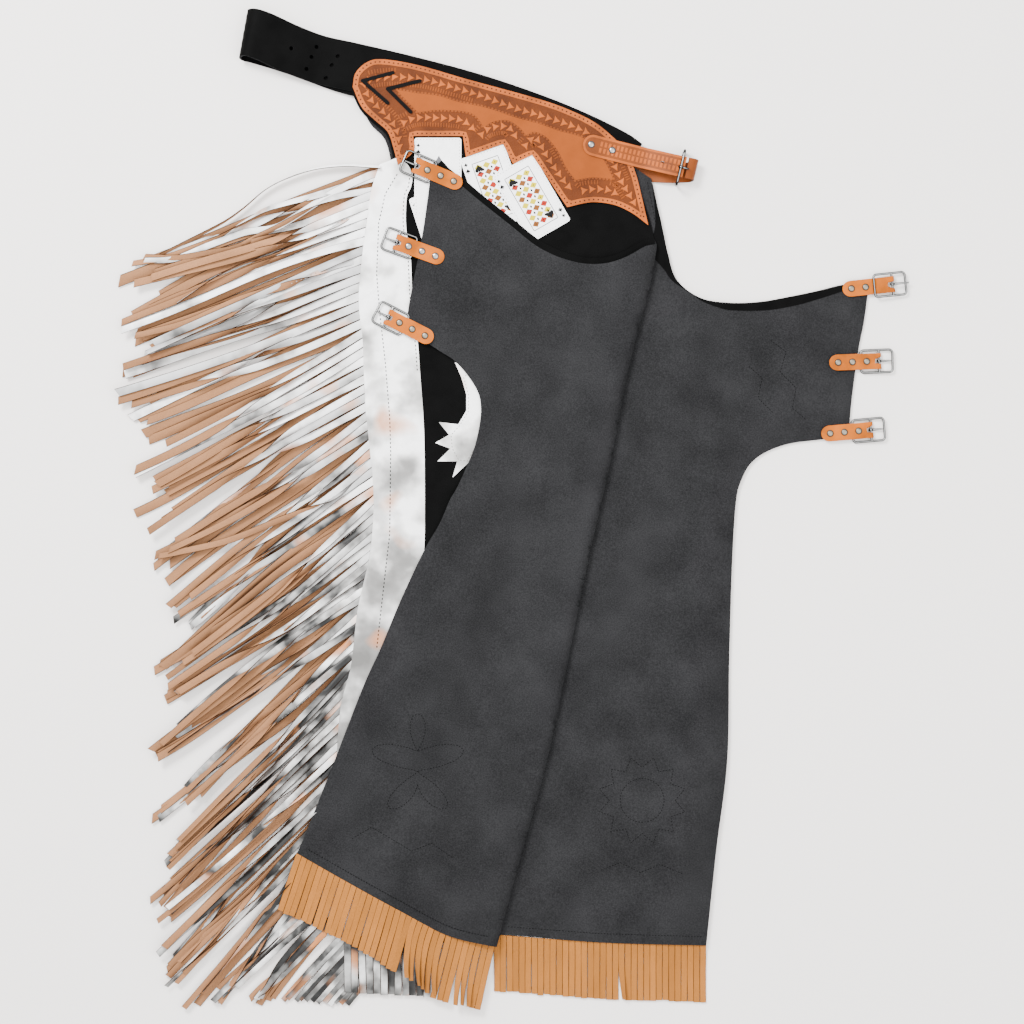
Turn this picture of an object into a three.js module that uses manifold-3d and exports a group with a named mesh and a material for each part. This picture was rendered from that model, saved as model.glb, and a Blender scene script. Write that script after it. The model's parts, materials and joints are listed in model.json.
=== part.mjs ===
// Bull riding chaps: a fringed pair, laid flat and folded at the front centre with the outer faces out.
// Millimetres, +Z up. The origin lies on the floor under the middle of the laid pair.

import * as THREE from "three";
import { mergeVertices } from "three/addons/utils/BufferGeometryUtils.js";
import Module from "manifold-3d";

const wasm = await Module();
wasm.setup();

// Driving sizes of the laid pair
const SPREAD_WIDTH = 600; // one thigh panel, opened flat
const LAID_LENGTH = 1200; // from the belt's loop down to the fringe tips
const CLEARANCE = 0.3; // between leather faces that touch

// Leather
const LEG_LEATHER = 2.4;
const BELT_LEATHER = 2.4;
const YOKE_LEATHER = 2.0;
const TRIM_LEATHER = 1.2; // silver strips and appliques
const STRAP_LEATHER = 2.4;
const TAB_LEATHER = 1.2; // one ply, a tab has two

// The fold of the right leg
const FOLD_RISE = 7; // how far the flap bulges up beside its crease
const FOLD_REACH = 8; // depth of the round turn at the crease
const FOLD_RUN = 55; // how far the bulge runs into the flap
const BOW_SKEW = 0.75; // puts the deepest point of a bowed line nearer the crease

// Belt
const BELT_WIDTH = 58;
const BELT_LOOP = 26; // height of the loop where the belt turns back
const BELT_HOLE = 5;

// Fringe
const SIDE_FRINGE = 305; // length of a full strip
const SIDE_STRIPS_RIGHT = 46;
const SIDE_STRIPS_LEFT = 40;
const SIDE_SCATTER = 0.05; // uneven length, as a share
const SIDE_FALL = 5; // how soon a side strip comes down, higher is nearer its root
const SIDE_ROOT = 0.9; // strip widths, as shares of the pitch
const SIDE_TIP = 0.6;
const HEM_FRINGE = 70;
const HEM_BAND = 8; // uncut head of the hem fringe
const HEM_SEAM = 0.8; // from the hem to the head of its fringe
const HEM_FALL = 1; // how far a hem strip's tip hangs lower than its head
const HEM_STRIPS_RIGHT = 14;
const HEM_STRIPS_FLAP = 17;
const HEM_STRIPS_LEFT = 30;
const HEM_SCATTER = 0.04;
const HEM_ROOT = 0.88;
const HEM_TIP = 0.72;
const STRIP_LEATHER = 0.9; // a strip's thickness, as a share of TRIM_LEATHER

// Playing card appliques
const CARD_WIDTH = 56;
const CARD_HEIGHT = 92;
const CARD_CORNER = 3;

// Silver leaf scroll
const SCROLL_HEIGHT = 138;

// Lacing on the yoke
const LACE_WIDTH = 4.4;
const LACE_LEATHER = 2;

// Front strap and its standing buckle
const STRAP_WIDTH = 25;
const FRONT_BUCKLE_WIDTH = 42;
const FRONT_BUCKLE_HEIGHT = 22; // between the middles of its two bars
const FRONT_WIRE = 1.6; // radius
const FRONT_PRONG = 9.5;
const FRONT_PRONG_LEAN = 20; // degrees below level
const FRONT_NOTCH = 6; // width of the slot for the prong
const STRAP_HOLE = 5;
const FRONT_RIVET = 7.5; // diameter

// Thigh tabs and their buckles
const TAB_WIDTH = 19;
const TAB_LENGTH = 60; // from the tip to the heel bar
const TAB_TIP = 10; // length of the rounded tip
const TAB_SLOT = 6; // width of the slot for the prong
const BUCKLE_WIDTH = 27; // between the middles of its long sides
const BUCKLE_FRONT = 16; // from the heel bar to the front bar
const BUCKLE_KEEPER = 22; // from the heel bar back to the keeper bar
const BUCKLE_CORNER = 4;
const BUCKLE_WIRE = 1.4; // radius
const PRONG_WIDTH = 3.2;
const PRONG_METAL = 1.4;
const PRONG_OVERHANG = 2.5; // beyond the front bar, where the prong lies on it
const TAB_RIVET = 8.5; // diameter
const RIVET_FIRST = 0.18 * TAB_LENGTH; // from the tip
const RIVET_PITCH = 0.285 * TAB_LENGTH;
const RIVET_HEAD = 1.1;

// Levels of the stacked layers above the floor, each from what lies under it
const LEFT_LEVEL = Math.max(YOKE_LEATHER, TRIM_LEATHER, STRAP_LEATHER) + CLEARANCE;
const RIGHT_LEVEL = LEFT_LEVEL + Math.max(LEG_LEATHER, BELT_LEATHER) + CLEARANCE;
const TRIM_LEVEL = RIGHT_LEVEL + Math.max(LEG_LEATHER, BELT_LEATHER) + CLEARANCE;
const FLAP_LEVEL = TRIM_LEVEL + TRIM_LEATHER + CLEARANCE;
const FLAP_TOP = FLAP_LEVEL + LEG_LEATHER;
const STRAP_LEVEL = TRIM_LEVEL + YOKE_LEATHER + CLEARANCE;

// Tables: "across" is a share of SPREAD_WIDTH to the right and "up" a share of LAID_LENGTH towards the waist.
// One row of the right leg for each cross line: its back edge, its crease, and the flap's free edge.
// "bow" is how far the middle of the flap's cross line stands above its chord.
const RIGHT_LEG_TOP = [
  { backAcross: -0.288, backUp: 0.417, frontAcross: 0.2, frontUp: 0.362 },
  { backAcross: -0.268, backUp: 0.387, frontAcross: 0.236, frontUp: 0.34 },
  { backAcross: -0.244, backUp: 0.362, frontAcross: 0.258, frontUp: 0.316 },
  { backAcross: -0.24, backUp: 0.336, frontAcross: 0.274, frontUp: 0.29 },
];
const RIGHT_LEG_FOLDED = [
  { backAcross: -0.256, backUp: 0.305, frontUp: 0.267, edgeAcross: -0.144, edgeUp: 0.34, bow: -0.044 },
  { backAcross: -0.262, backUp: 0.29, frontUp: 0.25, edgeAcross: -0.168, edgeUp: 0.306, bow: -0.038 },
  { backAcross: -0.266, backUp: 0.272, frontUp: 0.232, edgeAcross: -0.182, edgeUp: 0.272, bow: -0.03 },
  { backAcross: -0.27, backUp: 0.212, frontUp: 0.194, edgeAcross: -0.2, edgeUp: 0.22, bow: -0.02 },
  { backAcross: -0.268, backUp: 0.194, frontUp: 0.177, edgeAcross: -0.208, edgeUp: 0.2, bow: -0.012 },
  { backAcross: -0.264, backUp: 0.174, frontUp: 0.16, edgeAcross: -0.17, edgeUp: 0.167, bow: -0.004 },
  { backAcross: -0.26, backUp: 0.157, frontUp: 0.144, edgeAcross: -0.112, edgeUp: 0.15, bow: 0 },
  { backAcross: -0.254, backUp: 0.14, frontUp: 0.127, edgeAcross: -0.082, edgeUp: 0.132, bow: 0 },
  { backAcross: -0.25, backUp: 0.124, frontUp: 0.112, edgeAcross: -0.066, edgeUp: 0.117, bow: 0 },
  { backAcross: -0.246, backUp: 0.109, frontUp: 0.097, edgeAcross: -0.062, edgeUp: 0.103, bow: 0 },
  { backAcross: -0.242, backUp: 0.087, frontUp: 0.077, edgeAcross: -0.064, edgeUp: 0.085, bow: 0 },
  { backAcross: -0.242, backUp: 0.062, frontUp: 0.054, edgeAcross: -0.076, edgeUp: 0.062, bow: 0 },
  { backAcross: -0.242, backUp: 0.022, frontUp: 0.017, edgeAcross: -0.11, edgeUp: 0.024, bow: 0 },
  { backAcross: -0.244, backUp: -0.013, frontUp: -0.018, edgeAcross: -0.144, edgeUp: -0.011, bow: 0 },
  { backAcross: -0.258, backUp: -0.083, frontUp: -0.088, edgeAcross: -0.222, edgeUp: -0.088, bow: 0 },
  { backAcross: -0.274, backUp: -0.163, frontUp: -0.168, edgeAcross: -0.298, edgeUp: -0.167, bow: 0 },
  { backAcross: -0.296, backUp: -0.248, frontUp: -0.248, edgeAcross: -0.36, edgeUp: -0.25, bow: 0 },
  { backAcross: -0.32, backUp: -0.348, frontUp: -0.358, edgeAcross: -0.41, edgeUp: -0.316, bow: -0.006 },
  { backAcross: -0.336, backUp: -0.423, frontUp: -0.433, edgeAcross: -0.434, edgeUp: -0.342, bow: -0.01 },
];
const CREASE = [
  { up: 0.267, across: 0.286 },
  { up: 0.182, across: 0.256 },
  { up: -0.048, across: 0.156 },
  { up: -0.248, across: 0.066 },
  { up: -0.433, across: -0.034 },
];

// One row of the left leg for each cross line, from its back edge to its front edge
const LEFT_LEG = [
  { backAcross: -0.294, backUp: 0.412, frontAcross: 0.232, frontUp: 0.347, bow: 0.01 },
  { backAcross: -0.274, backUp: 0.372, frontAcross: 0.276, frontUp: 0.334, bow: 0 },
  { backAcross: -0.254, backUp: 0.322, frontAcross: 0.298, frontUp: 0.285, bow: 0 },
  { backAcross: -0.264, backUp: 0.272, frontAcross: 0.322, frontUp: 0.237, bow: 0 },
  { backAcross: -0.268, backUp: 0.25, frontAcross: 0.376, frontUp: 0.218, bow: 0 },
  { backAcross: -0.27, backUp: 0.227, frontAcross: 0.552, frontUp: 0.221, bow: -0.015 },
  { backAcross: -0.27, backUp: 0.202, frontAcross: 0.714, frontUp: 0.228, bow: -0.03 },
  { backAcross: -0.268, backUp: 0.177, frontAcross: 0.704, frontUp: 0.19, bow: -0.025 },
  { backAcross: -0.256, backUp: 0.147, frontAcross: 0.692, frontUp: 0.159, bow: -0.02 },
  { backAcross: -0.252, backUp: 0.117, frontAcross: 0.68, frontUp: 0.124, bow: -0.012 },
  { backAcross: -0.248, backUp: 0.097, frontAcross: 0.67, frontUp: 0.076, bow: 0 },
  { backAcross: -0.244, backUp: 0.08, frontAcross: 0.61, frontUp: 0.071, bow: 0 },
  { backAcross: -0.242, backUp: 0.064, frontAcross: 0.552, frontUp: 0.067, bow: 0 },
  { backAcross: -0.242, backUp: 0.047, frontAcross: 0.48, frontUp: 0.049, bow: 0 },
  { backAcross: -0.242, backUp: 0.027, frontAcross: 0.464, frontUp: 0.037, bow: 0 },
  { backAcross: -0.244, backUp: 0.002, frontAcross: 0.446, frontUp: 0.01, bow: 0 },
  { backAcross: -0.254, backUp: -0.068, frontAcross: 0.438, frontUp: -0.058, bow: 0 },
  { backAcross: -0.27, backUp: -0.143, frontAcross: 0.434, frontUp: -0.143, bow: 0 },
  { backAcross: -0.292, backUp: -0.238, frontAcross: 0.43, frontUp: -0.248, bow: 0 },
  { backAcross: -0.316, backUp: -0.338, frontAcross: 0.408, frontUp: -0.338, bow: 0 },
  { backAcross: -0.336, backUp: -0.423, frontAcross: 0.388, frontUp: -0.433, bow: 0 },
];
const WING_TOP_ROW = 6; // the row that ends in the wing's upper corner
// The left thigh wing comes down to the floor between these two places
const WING_FALL = { from: 0.4, to: 0.52 };

// The silver strip on a back edge: "root" is where its slits start, "edge" its sewn front edge
const SILVER_STRIP = [
  { up: 0.347, root: -0.264, edge: -0.206 },
  { up: 0.322, root: -0.28, edge: -0.202 },
  { up: 0.29, root: -0.29, edge: -0.212 },
  { up: 0.25, root: -0.3, edge: -0.202 },
  { up: 0.209, root: -0.306, edge: -0.194 },
  { up: 0.142, root: -0.296, edge: -0.184 },
  { up: 0.064, root: -0.284, edge: -0.176 },
  { up: 0.01, root: -0.276, edge: -0.174 },
  { up: -0.042, root: -0.292, edge: -0.176 },
  { up: -0.108, root: -0.316, edge: -0.19 },
  { up: -0.195, root: -0.338, edge: -0.214 },
  { up: -0.278, root: -0.354, edge: -0.236 },
  { up: -0.368, root: -0.364, edge: -0.256 },
  { up: -0.423, root: -0.37, edge: -0.266 },
];
// How the side strips lie: "dip" in degrees below level, "reach" as a share of SIDE_FRINGE
const FRINGE_LAY = [
  { up: 0.347, dip: 21, reach: 1.03 },
  { up: 0.209, dip: 23, reach: 0.98 },
  { up: 0.142, dip: 30, reach: 1.0 },
  { up: 0.064, dip: 35, reach: 0.98 },
  { up: -0.042, dip: 38, reach: 0.98 },
  { up: -0.138, dip: 40, reach: 0.98 },
  { up: -0.238, dip: 42, reach: 0.96 },
  { up: -0.338, dip: 45, reach: 0.85 },
  { up: -0.388, dip: 47, reach: 0.56 },
  { up: -0.423, dip: 48, reach: 0.33 },
];

// The belt's middle line. "lean" turns its width from straight up, in degrees.
const BELT_UPPER_RUN = [
  { across: 0.2, up: 0.349, lean: 35 },
  { across: 0.126, up: 0.372, lean: 31 },
  { across: 0.036, up: 0.394, lean: 24 },
  { across: -0.084, up: 0.415, lean: 18 },
  { across: -0.212, up: 0.432, lean: 15 },
  { across: -0.324, up: 0.444, lean: 14 },
];
// In the loop "rise" is a share of BELT_LOOP
const BELT_TURN = [
  { across: -0.388, up: 0.452, lean: 18, rise: 0.24 },
  { across: -0.444, up: 0.463, lean: 21, rise: 0.52 },
  { across: -0.492, up: 0.473, lean: 19, rise: 0.86 },
  { across: -0.518, up: 0.477, lean: 14, rise: 0.95 },
  { across: -0.53, up: 0.477, lean: 11, rise: 0.75 },
  { across: -0.534, up: 0.476, lean: 10, rise: 0.45 },
  { across: -0.528, up: 0.474, lean: 10, rise: 0.15 },
  { across: -0.508, up: 0.472, lean: 11, rise: 0.0 },
  { across: -0.436, up: 0.461, lean: 14, rise: 0.0 },
];
const BELT_LOWER_RUN = [
  { across: -0.324, up: 0.441, lean: 14 },
  { across: -0.212, up: 0.43, lean: 15 },
  { across: -0.084, up: 0.412, lean: 18 },
  { across: 0.036, up: 0.391, lean: 24 },
  { across: 0.126, up: 0.369, lean: 31 },
  { across: 0.2, up: 0.347, lean: 35 },
];
const BELT_HOLES = [
  { across: -0.44, up: 0.462 },
  { across: -0.39, up: 0.464 },
  { across: -0.4, up: 0.454 },
  { across: -0.41, up: 0.442 },
  { across: -0.348, up: 0.455 },
  { across: -0.36, up: 0.446 },
  { across: -0.372, up: 0.433 },
];

// Outline of a yoke, clockwise from its round back end, drawn through the cards it is cut around
const YOKE_OUTLINE = [
  { across: -0.318, up: 0.426 },
  { across: -0.308, up: 0.44 },
  { across: -0.288, up: 0.45 },
  { across: -0.26, up: 0.451 },
  { across: -0.186, up: 0.445 },
  { across: -0.092, up: 0.432 },
  { across: 0.056, up: 0.411 },
  { across: 0.124, up: 0.399 },
  { across: 0.17, up: 0.387 },
  { across: 0.206, up: 0.372 },
  { across: 0.246, up: 0.342 },
  { across: 0.272, up: 0.286 },
  { across: 0.24, up: 0.298 },
  { across: 0.206, up: 0.306 },
  { across: 0.17, up: 0.309 },
  { across: 0.11, up: 0.304 },
  { across: 0.06, up: 0.33 },
  { across: -0.05, up: 0.345 },
  { across: -0.15, up: 0.36 },
  { across: -0.196, up: 0.36 },
  { across: -0.23, up: 0.346 },
  { across: -0.236, up: 0.36 },
  { across: -0.248, up: 0.379 },
  { across: -0.274, up: 0.391 },
  { across: -0.308, up: 0.41 },
];

// Cards from the lowest to the topmost of the fanned hand; "turn" in degrees, anticlockwise
const CARDS = [
  { name: "card_tucked", across: -0.138, up: 0.283, turn: 18 },
  { name: "card_ace", across: -0.148, up: 0.335, turn: 0 },
  { name: "card_king", across: -0.022, up: 0.3255, turn: 19.3 },
  { name: "card_queen", across: 0.0385, up: 0.3128, turn: 30 },
];

// Outline of the leaf scroll from its tip, as shares of SCROLL_HEIGHT
const SCROLL_PLACE = { across: -0.114, up: 0.092 };
const SCROLL_OUTLINE = [
  { across: 0.0, up: 0.5 },
  { across: 0.14, up: 0.43 },
  { across: 0.25, up: 0.28 },
  { across: 0.28, up: 0.08 },
  { across: 0.23, up: -0.18 },
  { across: 0.12, up: -0.37 },
  { across: -0.02, up: -0.5 },
  { across: 0.02, up: -0.36 },
  { across: -0.15, up: -0.36 },
  { across: -0.04, up: -0.25 },
  { across: -0.17, up: -0.2 },
  { across: -0.05, up: -0.13 },
  { across: -0.14, up: -0.02 },
  { across: 0.03, up: -0.04 },
  { across: 0.1, up: 0.08 },
  { across: 0.1, up: 0.22 },
  { across: 0.06, up: 0.36 },
];

// Lacing: two chevrons, each from its upper end by its point to its lower end
const LACES = [
  { name: "lace_outer", upper: [-0.238, 0.438], point: [-0.298, 0.43], lower: [-0.248, 0.408] },
  { name: "lace_inner", upper: [-0.184, 0.43], point: [-0.244, 0.422], lower: [-0.202, 0.399] },
];

// Front strap: upper run from the right yoke to the buckle, and the left strap that turns back through it
const FRONT_UPPER = [
  { across: 0.142, up: 0.368, half: 0.5, rise: 0 },
  { across: 0.15, up: 0.367, half: 0.85, rise: 0 },
  { across: 0.166, up: 0.365, half: 1, rise: 0 },
  { across: 0.25, up: 0.3545, half: 1, rise: 0 },
  { across: 0.29, up: 0.3495, half: 1, rise: 0.5 },
  { across: 0.326, up: 0.345, half: 1, rise: 1 },
  { across: 0.3434, up: 0.343, half: 1, rise: 1 },
];
const FRONT_LOWER = [
  { across: 0.2, up: 0.349, rise: 0 },
  { across: 0.268, up: 0.341, rise: 0 },
  { across: 0.286, up: 0.3398, rise: 0.1 },
  { across: 0.314, up: 0.3388, rise: 1 },
  { across: 0.344, up: 0.339, rise: 1 },
];
const FRONT_LEAN = 14;
const FRONT_BUCKLE_PLACE = { across: 0.336, up: 0.343 };
const FRONT_RIVETS = [
  { name: "front_rivet_1", across: 0.162, up: 0.366 },
  { name: "front_rivet_2", across: 0.2, up: 0.3605 },
];
const FRONT_HOLES = [{ across: 0.296, up: 0.349 }];

// Thigh tabs: where each crosses its wing's free edge, its turn towards its buckle in degrees, and how far
// its keeper bar stands off the edge, as a share of TAB_LENGTH
const TABS = [
  { name: "right_1", edgeUp: 0.336, turn: 157, stand: 0.12, onFlap: true, rivets: 3 },
  { name: "right_2", edgeUp: 0.261, turn: 160, stand: 0.1, onFlap: true, rivets: 3 },
  { name: "right_3", edgeUp: 0.178, turn: 153, stand: 0.35, onFlap: true, rivets: 3 },
  { name: "left_1", edgeUp: 0.225, turn: 6, stand: 0.1, faceUp: true, rivets: 2 },
  { name: "left_2", edgeUp: 0.15, turn: 2, stand: 0.08, rivets: 3 },
  { name: "left_3", edgeUp: 0.08, turn: 5, stand: 0.1, rivets: 3 },
];

// Finishes
const finish = (color, roughness, metalness = 0) =>
  new THREE.MeshStandardMaterial({ color, roughness, metalness });
const FINISHES = {
  suede: finish("#3a3d40", 0.95),
  blackLeather: finish("#161514", 0.6),
  silverFoil: finish("#cfd0d0", 0.28, 0.9),
  tanSuede: finish("#c98f5a", 0.9),
  russet: finish("#c07448", 0.55),
  whiteLeather: finish("#efefef", 0.5),
  steel: finish("#c4c4c2", 0.25, 1),
};

const radians = THREE.MathUtils.degToRad;
const place = (row) => new THREE.Vector2(row.across * SPREAD_WIDTH, row.up * LAID_LENGTH);

// Reads one column of a table at a height, the rows running downwards
function readTable(rows, up, column) {
  const next = rows.findIndex((row) => row.up <= up);
  if (next === 0) return rows[0][column];
  if (next < 0) return rows[rows.length - 1][column];
  const above = rows[next - 1];
  const below = rows[next];
  return THREE.MathUtils.mapLinear(up, above.up, below.up, above[column], below[column]);
}

// Repeatable scatter between -1 and 1
const scatter = (index, salt) => {
  const wave = Math.sin(index * 12.9898 + salt * 78.233) * 43758.5453;
  return 2 * (wave - Math.floor(wave)) - 1;
};

function toSolid(geometry) {
  const bare = geometry.clone();
  bare.deleteAttribute("normal");
  bare.deleteAttribute("uv");
  const merged = mergeVertices(bare, 1e-4);
  const vertProperties = new Float32Array(merged.attributes.position.array);
  const triVerts = new Uint32Array(merged.index.array);
  return new wasm.Manifold(new wasm.Mesh({ numProp: 3, vertProperties, triVerts }));
}

function toGeometry(solid) {
  const mesh = solid.getMesh();
  const geometry = new THREE.BufferGeometry();
  geometry.setAttribute("position", new THREE.BufferAttribute(mesh.vertProperties, 3));
  geometry.setIndex(new THREE.BufferAttribute(mesh.triVerts, 1));
  return geometry;
}

function signedVolume(points, triangles) {
  let sum = 0;
  for (let i = 0; i < triangles.length; i += 3) {
    const [a, b, c] = [points[triangles[i]], points[triangles[i + 1]], points[triangles[i + 2]]];
    sum += a.dot(b.clone().cross(c)) / 6;
  }
  return sum;
}

function closedGeometry(points, triangles) {
  const outward = signedVolume(points, triangles) > 0;
  const geometry = new THREE.BufferGeometry().setFromPoints(points);
  geometry.setIndex(outward ? triangles : triangles.toReversed());
  return geometry;
}

// A sheet of leather round a grid of middle points, where null leaves a place empty
function sheet(grid, leather) {
  const height = grid.length;
  const width = Math.max(...grid.map((row) => row.length));
  const at = (i, j) => (grid[i] ? grid[i][j] ?? null : null);
  const along = (i, j, di, dj) => {
    const ahead = at(i + di, j + dj) ?? at(i, j);
    const behind = at(i - di, j - dj) ?? at(i, j);
    return ahead.clone().sub(behind);
  };
  const points = [];
  const number = new Map();
  for (let i = 0; i < height; i++) {
    for (let j = 0; j < width; j++) {
      const point = at(i, j);
      if (!point) continue;
      const normal = along(i, j, 1, 0).cross(along(i, j, 0, 1)).normalize();
      number.set(i * width + j, points.length);
      points.push(point.clone().addScaledVector(normal, leather / 2));
      points.push(point.clone().addScaledVector(normal, -leather / 2));
    }
  }
  const triangles = [];
  const quad = (a, b, c, d) => triangles.push(a, b, c, a, c, d);
  const whole = (i, j) => at(i, j) && at(i + 1, j) && at(i, j + 1) && at(i + 1, j + 1);
  for (let i = 0; i < height; i++) {
    for (let j = 0; j < width; j++) {
      if (!whole(i, j)) continue;
      const [a, b] = [number.get(i * width + j), number.get((i + 1) * width + j)];
      const [d, c] = [number.get(i * width + j + 1), number.get((i + 1) * width + j + 1)];
      quad(a, b, c, d);
      quad(a + 1, d + 1, c + 1, b + 1);
      if (!whole(i, j - 1)) quad(a, a + 1, b + 1, b);
      if (!whole(i + 1, j)) quad(b, b + 1, c + 1, c);
      if (!whole(i, j + 1)) quad(c, c + 1, d + 1, d);
      if (!whole(i - 1, j)) quad(d, d + 1, a + 1, a);
    }
  }
  return closedGeometry(points, triangles);
}

// A flat piece of leather of the given outline, lying at a level
function flatPiece(outline, level, leather) {
  const geometry = new THREE.ExtrudeGeometry(new THREE.Shape(outline), { depth: leather, bevelEnabled: false });
  return geometry.translate(0, 0, level);
}

// A closed ring of round wire through the given points
function wireRing(path, radius, sides) {
  const points = [];
  const triangles = [];
  const count = path.length;
  const middle = path.reduce((sum, point) => sum.add(point), new THREE.Vector3()).divideScalar(count);
  path.forEach((point, i) => {
    const run = path[(i + 1) % count].clone().sub(path[(i + count - 1) % count]).normalize();
    const up = run.clone().cross(point.clone().sub(middle)).normalize();
    const out = up.clone().cross(run).normalize();
    for (let k = 0; k < sides; k++) {
      const angle = (2 * Math.PI * (k + 0.5)) / sides;
      const ray = out.clone().multiplyScalar(Math.cos(angle)).addScaledVector(up, Math.sin(angle));
      points.push(point.clone().addScaledVector(ray, radius));
    }
  });
  for (let i = 0; i < count; i++) {
    for (let k = 0; k < sides; k++) {
      const [a, b] = [i * sides + k, i * sides + ((k + 1) % sides)];
      const [d, c] = [((i + 1) % count) * sides + k, ((i + 1) % count) * sides + ((k + 1) % sides)];
      triangles.push(a, b, c, a, c, d);
    }
  }
  return closedGeometry(points, triangles);
}

// Corner points of a rounded rectangle between two lengths along x and a width along y
function roundedRectangle(from, to, width, corner) {
  const points = [];
  const corners = [
    [to - corner, width / 2 - corner, 0],
    [from + corner, width / 2 - corner, 90],
    [from + corner, corner - width / 2, 180],
    [to - corner, corner - width / 2, 270],
  ];
  for (const [x, y, start] of corners) {
    for (const turn of [0, 45, 90]) {
      const angle = radians(start + turn);
      points.push(new THREE.Vector2(x + corner * Math.cos(angle), y + corner * Math.sin(angle)));
    }
  }
  return points;
}

const circle = (radius, sides, x = 0, y = 0) =>
  Array.from({ length: sides }, (_, k) => {
    const angle = (2 * Math.PI * (k + 0.5)) / sides;
    return new THREE.Vector2(x + radius * Math.cos(angle), y + radius * Math.sin(angle));
  });

// Upright drill through everything between two levels
const drill = (at, diameter, from, to) =>
  toSolid(flatPiece(circle(diameter / 2, 8, at.x, at.y), from, to - from));

// Belt
function beltSection(row, height, grow = 0) {
  const lean = radians(row.lean);
  const half = BELT_WIDTH / 2 + grow;
  const { x, y } = place(row);
  return [1, 0, -1].map(
    (side) => new THREE.Vector3(x + side * half * Math.sin(lean), y + side * half * Math.cos(lean), height),
  );
}

function beltGeometry() {
  const middle = BELT_LEATHER / 2;
  const sections = [
    ...BELT_UPPER_RUN.map((row) => beltSection(row, RIGHT_LEVEL + middle)),
    ...BELT_TURN.map((row) => beltSection(row, middle + row.rise * BELT_LOOP)),
    ...BELT_LOWER_RUN.map((row) => beltSection(row, LEFT_LEVEL + middle)),
  ];
  let belt = toSolid(sheet(sections, BELT_LEATHER));
  for (const hole of BELT_HOLES) {
    belt = belt.subtract(drill(place(hole), BELT_HOLE, LEFT_LEVEL + BELT_LEATHER + CLEARANCE, 2 * BELT_LOOP));
  }
  return toGeometry(belt);
}

// The room that a run of the belt takes in its layer
function beltRoom(run) {
  const sections = run.map((row) => beltSection(row, 0, CLEARANCE));
  const upper = sections.map(([top]) => new THREE.Vector2(top.x, top.y));
  const lower = sections.map((section) => new THREE.Vector2(section[2].x, section[2].y));
  return toSolid(flatPiece([...upper, ...lower.toReversed()], -1, TRIM_LEVEL + 2));
}

// Right leg: lower layer, round turn at the crease, and the flap that lies back over it
const LOWER_COLUMNS = 6;
const FLAP_COLUMNS = 6;
const TURN_ANGLES = [-90, -50, -10, 30, 65];

function creaseAt(up) {
  return new THREE.Vector2(readTable(CREASE, up, "across") * SPREAD_WIDTH, up * LAID_LENGTH);
}

function flapHeight(run) {
  return FLAP_LEVEL + LEG_LEATHER / 2 + FOLD_RISE * Math.exp(-((run / FOLD_RUN) ** 2));
}

function foldedSection(row) {
  const back = place({ across: row.backAcross, up: row.backUp });
  const crease = creaseAt(row.frontUp);
  const edge = place({ across: row.edgeAcross, up: row.edgeUp });
  const inward = edge.clone().sub(crease).normalize();
  const turnStart = crease.clone().addScaledVector(back.clone().sub(crease).normalize(), FOLD_REACH);
  const low = RIGHT_LEVEL + LEG_LEATHER / 2;
  const high = flapHeight(0);
  const points = [];
  for (let j = 0; j < LOWER_COLUMNS; j++) {
    const at = back.clone().lerp(turnStart, j / LOWER_COLUMNS);
    points.push(new THREE.Vector3(at.x, at.y, low));
  }
  for (const angle of TURN_ANGLES) {
    const at = turnStart.clone().addScaledVector(inward, -FOLD_REACH * Math.cos(radians(angle)));
    points.push(new THREE.Vector3(at.x, at.y, (low + high) / 2 + ((high - low) / 2) * Math.sin(radians(angle))));
  }
  const flapStart = crease.clone().addScaledVector(inward, FOLD_REACH);
  const length = flapStart.distanceTo(edge);
  for (let j = 0; j <= FLAP_COLUMNS; j++) {
    const share = (j / FLAP_COLUMNS) ** 1.3;
    const at = flapStart.clone().lerp(edge, share);
    at.y += Math.sin(Math.PI * share ** BOW_SKEW) * row.bow * LAID_LENGTH;
    points.push(new THREE.Vector3(at.x, at.y, flapHeight(share * length)));
  }
  return points;
}

function openSection(row) {
  const back = place({ across: row.backAcross, up: row.backUp });
  const front = place({ across: row.frontAcross, up: row.frontUp });
  const points = [];
  for (let j = 0; j <= LOWER_COLUMNS; j++) {
    const at = back.clone().lerp(front, j / LOWER_COLUMNS);
    points.push(new THREE.Vector3(at.x, at.y, RIGHT_LEVEL + LEG_LEATHER / 2));
  }
  return points;
}

function rightLegGeometry() {
  const grid = [...RIGHT_LEG_TOP.map(openSection), ...RIGHT_LEG_FOLDED.map(foldedSection)];
  return toGeometry(toSolid(sheet(grid, LEG_LEATHER)).subtract(beltRoom(BELT_UPPER_RUN)));
}

// Left leg
function leftLegHeight(x) {
  const fall = THREE.MathUtils.smoothstep(x / SPREAD_WIDTH, WING_FALL.from, WING_FALL.to);
  return LEFT_LEVEL * (1 - fall) + LEG_LEATHER / 2;
}

const LEFT_COLUMNS = 10;

function leftLegSection(row) {
  const back = place({ across: row.backAcross, up: row.backUp });
  const front = place({ across: row.frontAcross, up: row.frontUp });
  return Array.from({ length: LEFT_COLUMNS + 1 }, (_, j) => {
    const share = j / LEFT_COLUMNS;
    const at = back.clone().lerp(front, share);
    at.y += 4 * share * (1 - share) * row.bow * LAID_LENGTH;
    return new THREE.Vector3(at.x, at.y, leftLegHeight(at.x));
  });
}

function leftLegGeometry() {
  const leg = toSolid(sheet(LEFT_LEG.map(leftLegSection), LEG_LEATHER));
  return toGeometry(leg.subtract(beltRoom(BELT_LOWER_RUN)));
}

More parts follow.
